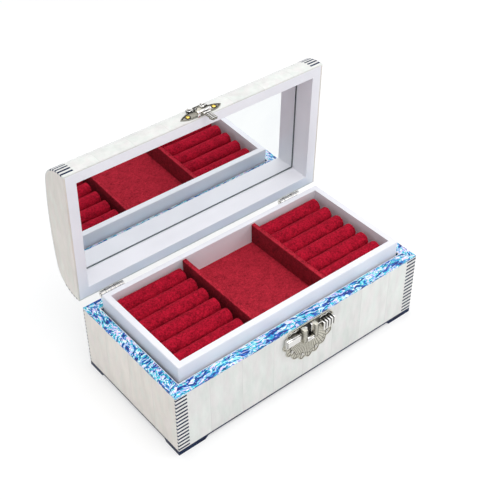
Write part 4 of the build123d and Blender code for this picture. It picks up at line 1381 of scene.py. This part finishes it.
class CHEST_OT_ring_pads(bpy.types.Operator):
    """Swell one velvet ring roll and lay twelve of them in the tray's two outer parts"""

    bl_idname = "chest.ring_pads"
    bl_label = "Ring Pads"

    rolls: a_count("Rolls", "Rolls on each pad", 6)
    pitch: a_length("Pitch", "Distance from roll to roll", 14.4)
    base: a_length("Base", "Thickness of the pad under its rolls", 3)
    pressure: a_number("Pressure", "Pressure of the foam in a roll", 4.0)
    steps: a_count("Steps", "Steps in which a roll swells", 20)

    def execute(self, context):
        colors, sizes = context.scene.chest_colors, context.scene.chest_sizes
        velvet = velvet_finish("roll_velvet", tuple(colors.roll_velvet), 0.10, 0.11).material
        roll = self.make_roll(sizes)
        for side in ("left", "right"):
            self.make_pad(side, roll, velvet, sizes.nap)
        bpy.data.objects.remove(roll)
        return {"FINISHED"}

    def make_roll(self, sizes):
        """One roll with a half-round top and upright sides, ten times as large while it swells."""
        low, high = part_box("ring_pad_left")
        inset, scale = sizes.roll_swell, 10.0
        roll_gap = 0.7 * MM
        width = self.pitch - roll_gap - 2 * inset
        length = high.x - low.x - 2 * inset
        top = high.z - inset
        axis_z = top - width / 2
        bottom = low.z + 0.4 * MM + inset
        roll = add_rod("ring_roll", (-length / 2, 0, 0), (length / 2, 0, 0), width / 2, 48)

        def upright(co):
            if co.z >= 0:
                return co
            side = math.copysign((abs(co.y) * 2 / width) ** 0.3, co.y) * width / 2
            return Vector((co.x, side, co.z * 2 / width * (axis_z - bottom)))

        move_points(roll, upright)
        roll.data.transform(Matrix.Scale(scale, 4))
        activate(roll)
        roll.data.remesh_voxel_size = sizes.roll_voxel * scale
        bpy.ops.object.voxel_remesh()
        swell(roll, self.pressure, inset * scale, self.steps)
        roll.data.transform(Matrix.Scale(1 / scale, 4))
        finish_with(roll, "SUBSURF", levels=1, render_levels=1)
        roll.data.transform(Matrix.Translation((0, 0, axis_z)))
        return roll

    def make_pad(self, side, roll, velvet, nap):
        name = "ring_pad_" + side
        low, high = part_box(name)
        middle_x, middle_y = (low.x + high.x) / 2, (low.y + high.y) / 2
        start = (low.x + MM, low.y + MM, low.z + 0.05 * MM)
        end = (high.x - MM, high.y - MM, low.z + self.base)
        pieces = [soften(add_block("pad_base", start, end), 0.6 * MM, 3)]
        for number in range(self.rolls):
            # A roll takes its lumps from a place of its own in the noise
            twin = copy_piece(roll, "pad_roll")
            offset = Vector((middle_x, middle_y + (number - (self.rolls - 1) / 2) * self.pitch, 0))
            twin.data.transform(Matrix.Translation(offset))
            own = Vector((0, 0, 3.7 * number + (50 if side == "right" else 0)))
            twin.data.update()
            normals = [vertex.normal.copy() for vertex in twin.data.vertices]
            for vertex, normal in zip(twin.data.vertices, normals):
                lump = noise.noise(vertex.co / (6 * MM) + own)
                lump += 0.5 * noise.noise(vertex.co / (2 * MM) + own)
                vertex.co += normal * nap * (lump - 0.9)
            pieces.append(twin)
        pad = smooth(join(pieces, name + "_velvet"), 60)
        put_on(pad, velvet)
        mount(pad, name, "red_velvet", name)


def seen_share(tree):
    """1 for rays from the camera, straight or by way of a mirror or glass, and 0 for the rest."""
    path = tree.nodes.new("ShaderNodeLightPath")
    found = path.outputs["Is Camera Ray"]
    for name in ("Is Glossy Ray", "Is Transmission Ray"):
        either = tree.nodes.new("ShaderNodeMath")
        either.operation = "MAXIMUM"
        tree.links.new(found, either.inputs[0])
        tree.links.new(path.outputs[name], either.inputs[1])
        found = either.outputs[0]
    return found


class CHEST_OT_stage(bpy.types.Operator):
    """Set the white floor, the soft lights and the camera"""

    bl_idname = "chest.stage"
    bl_label = "Stage"

    azimuth: an_angle("Azimuth", "Turn of the camera round the chest", -0.683)
    elevation: an_angle("Elevation", "Camera's height as an angle", 0.703)
    roll: an_angle("Roll", "Turn of the camera about its own axis", -0.005)
    lens: bpy.props.FloatProperty(
        name="Lens", description="Focal length", subtype="DISTANCE_CAMERA", default=73.2
    )
    camera_place: bpy.props.FloatVectorProperty(
        name="Camera",
        description="Place of the camera",
        subtype="TRANSLATION",
        default=(-0.376, -0.4571, 0.595),
    )
    sky: a_number("Sky", "Strength of the room's light", 0.62)

    def execute(self, context):
        scene = context.scene
        scene.view_settings.view_transform = "Standard"
        self.make_camera(scene)
        self.make_floor()
        self.make_world(scene)
        self.add_lamp("key", (-0.15, -0.55, 1.5), 1.1, 9.0, (1.0, 0.99, 0.97))
        self.add_lamp("fill", (1.3, -0.7, 0.9), 1.2, 5.0, (0.95, 0.97, 1.0))
        self.add_lamp("top", (0.1, 0.4, 1.6), 1.3, 7.0, (1.0, 1.0, 1.0))
        return {"FINISHED"}

    def make_camera(self, scene):
        lens = bpy.data.cameras.new("camera")
        lens.lens = self.lens
        lens.sensor_width = 36
        lens.clip_start = 0.01
        camera = bpy.data.objects.new("camera", lens)
        turn = (
            Matrix.Rotation(self.azimuth, 4, "Z")
            @ Matrix.Rotation(math.pi / 2 - self.elevation, 4, "X")
            @ Matrix.Rotation(self.roll, 4, "Z")
        )
        camera.matrix_world = Matrix.Translation(self.camera_place) @ turn
        scene.collection.objects.link(camera)
        scene.camera = camera

    @staticmethod
    def make_floor():
        """A white floor, which glows a little where it is seen, so that only a soft shadow is left on it."""
        floor = add_shape("floor", bpy.ops.mesh.primitive_plane_add, size=12)
        finish = Finish("floor_white", Roughness=0.9, Specular_IOR_Level=0.0)
        cloud = finish.noise(finish.place, 0.4, 2.0)
        finish.color(finish.mix(finish.band(cloud, 0.3, 0.7), (0.975, 0.975, 0.975), (0.985, 0.985, 0.985)))
        tree = finish.tree
        glow = finish.node("Emission", (1.0, 1.0, 1.0, 1.0), 1.0)
        share = finish.math("MULTIPLY", seen_share(tree), 0.5)
        choose = finish.node("MixShader", share, finish.shader.outputs[0], glow.outputs[0])
        tree.links.new(choose.outputs[0], tree.nodes["Material Output"].inputs["Surface"])
        put_on(floor, finish.material)

    def make_world(self, scene):
        world = bpy.data.worlds.new("room")
        scene.world = world
        world.use_nodes = True
        tree = world.node_tree
        tree.nodes.clear()
        out = tree.nodes.new("ShaderNodeOutputWorld")
        choose = tree.nodes.new("ShaderNodeMixShader")
        tree.links.new(seen_share(tree), choose.inputs[0])
        lights = (((0.96, 0.98, 1.0, 1.0), self.sky), ((1.0, 1.0, 1.0, 1.0), 1.0))
        for number, (color, strength) in enumerate(lights, 1):
            light = tree.nodes.new("ShaderNodeBackground")
            light.inputs["Color"].default_value = color
            light.inputs["Strength"].default_value = strength
            tree.links.new(light.outputs[0], choose.inputs[number])
        tree.links.new(choose.outputs[0], out.inputs["Surface"])

    @staticmethod
    def add_lamp(name, place, size, power, color):
        bpy.ops.object.select_all(action="DESELECT")
        bpy.ops.object.light_add(type="AREA", location=place)
        lamp = bpy.context.object
        lamp.name = name
        lamp.data.shape = "DISK"
        lamp.data.size = size
        lamp.data.energy = power
        lamp.data.color = color
        lamp.rotation_euler = (-Vector(place)).to_track_quat("-Z", "Y").to_euler()


class CHEST_PT_pieces(bpy.types.Panel):
    """Lists the steps that dress the chest, in their order"""

    bl_idname = "CHEST_PT_pieces"
    bl_label = "Jewelry Chest"
    bl_space_type = "VIEW_3D"
    bl_region_type = "UI"
    bl_category = "Jewelry Chest"

    def draw(self, context):
        for operator in OPERATORS:
            self.layout.operator(operator.bl_idname)
        for group in (context.scene.chest_colors, context.scene.chest_sizes):
            for name in group.__annotations__:
                self.layout.prop(group, name)


OPERATORS = (
    CHEST_OT_pearl_sheets,
    CHEST_OT_abalone_sheets,
    CHEST_OT_woodwork,
    CHEST_OT_mirror,
    CHEST_OT_hinges,
    CHEST_OT_clasp,
    CHEST_OT_hasp,
    CHEST_OT_lid_screws,
    CHEST_OT_velvet_boards,
    CHEST_OT_ring_pads,
    CHEST_OT_stage,
)
CLASSES = (ChestColors, ChestSizes, *OPERATORS, CHEST_PT_pieces)


def register():
    for item in CLASSES:
        bpy.utils.register_class(item)
    bpy.types.Scene.chest_colors = bpy.props.PointerProperty(type=ChestColors)
    bpy.types.Scene.chest_sizes = bpy.props.PointerProperty(type=ChestSizes)


def unregister():
    del bpy.types.Scene.chest_sizes
    del bpy.types.Scene.chest_colors
    for item in reversed(CLASSES):
        bpy.utils.unregister_class(item)


def main():
    register()
    for operator in OPERATORS:
        group, name = operator.bl_idname.split(".")
        getattr(getattr(bpy.ops, group), name)()


if __name__ == "__main__":
    main()
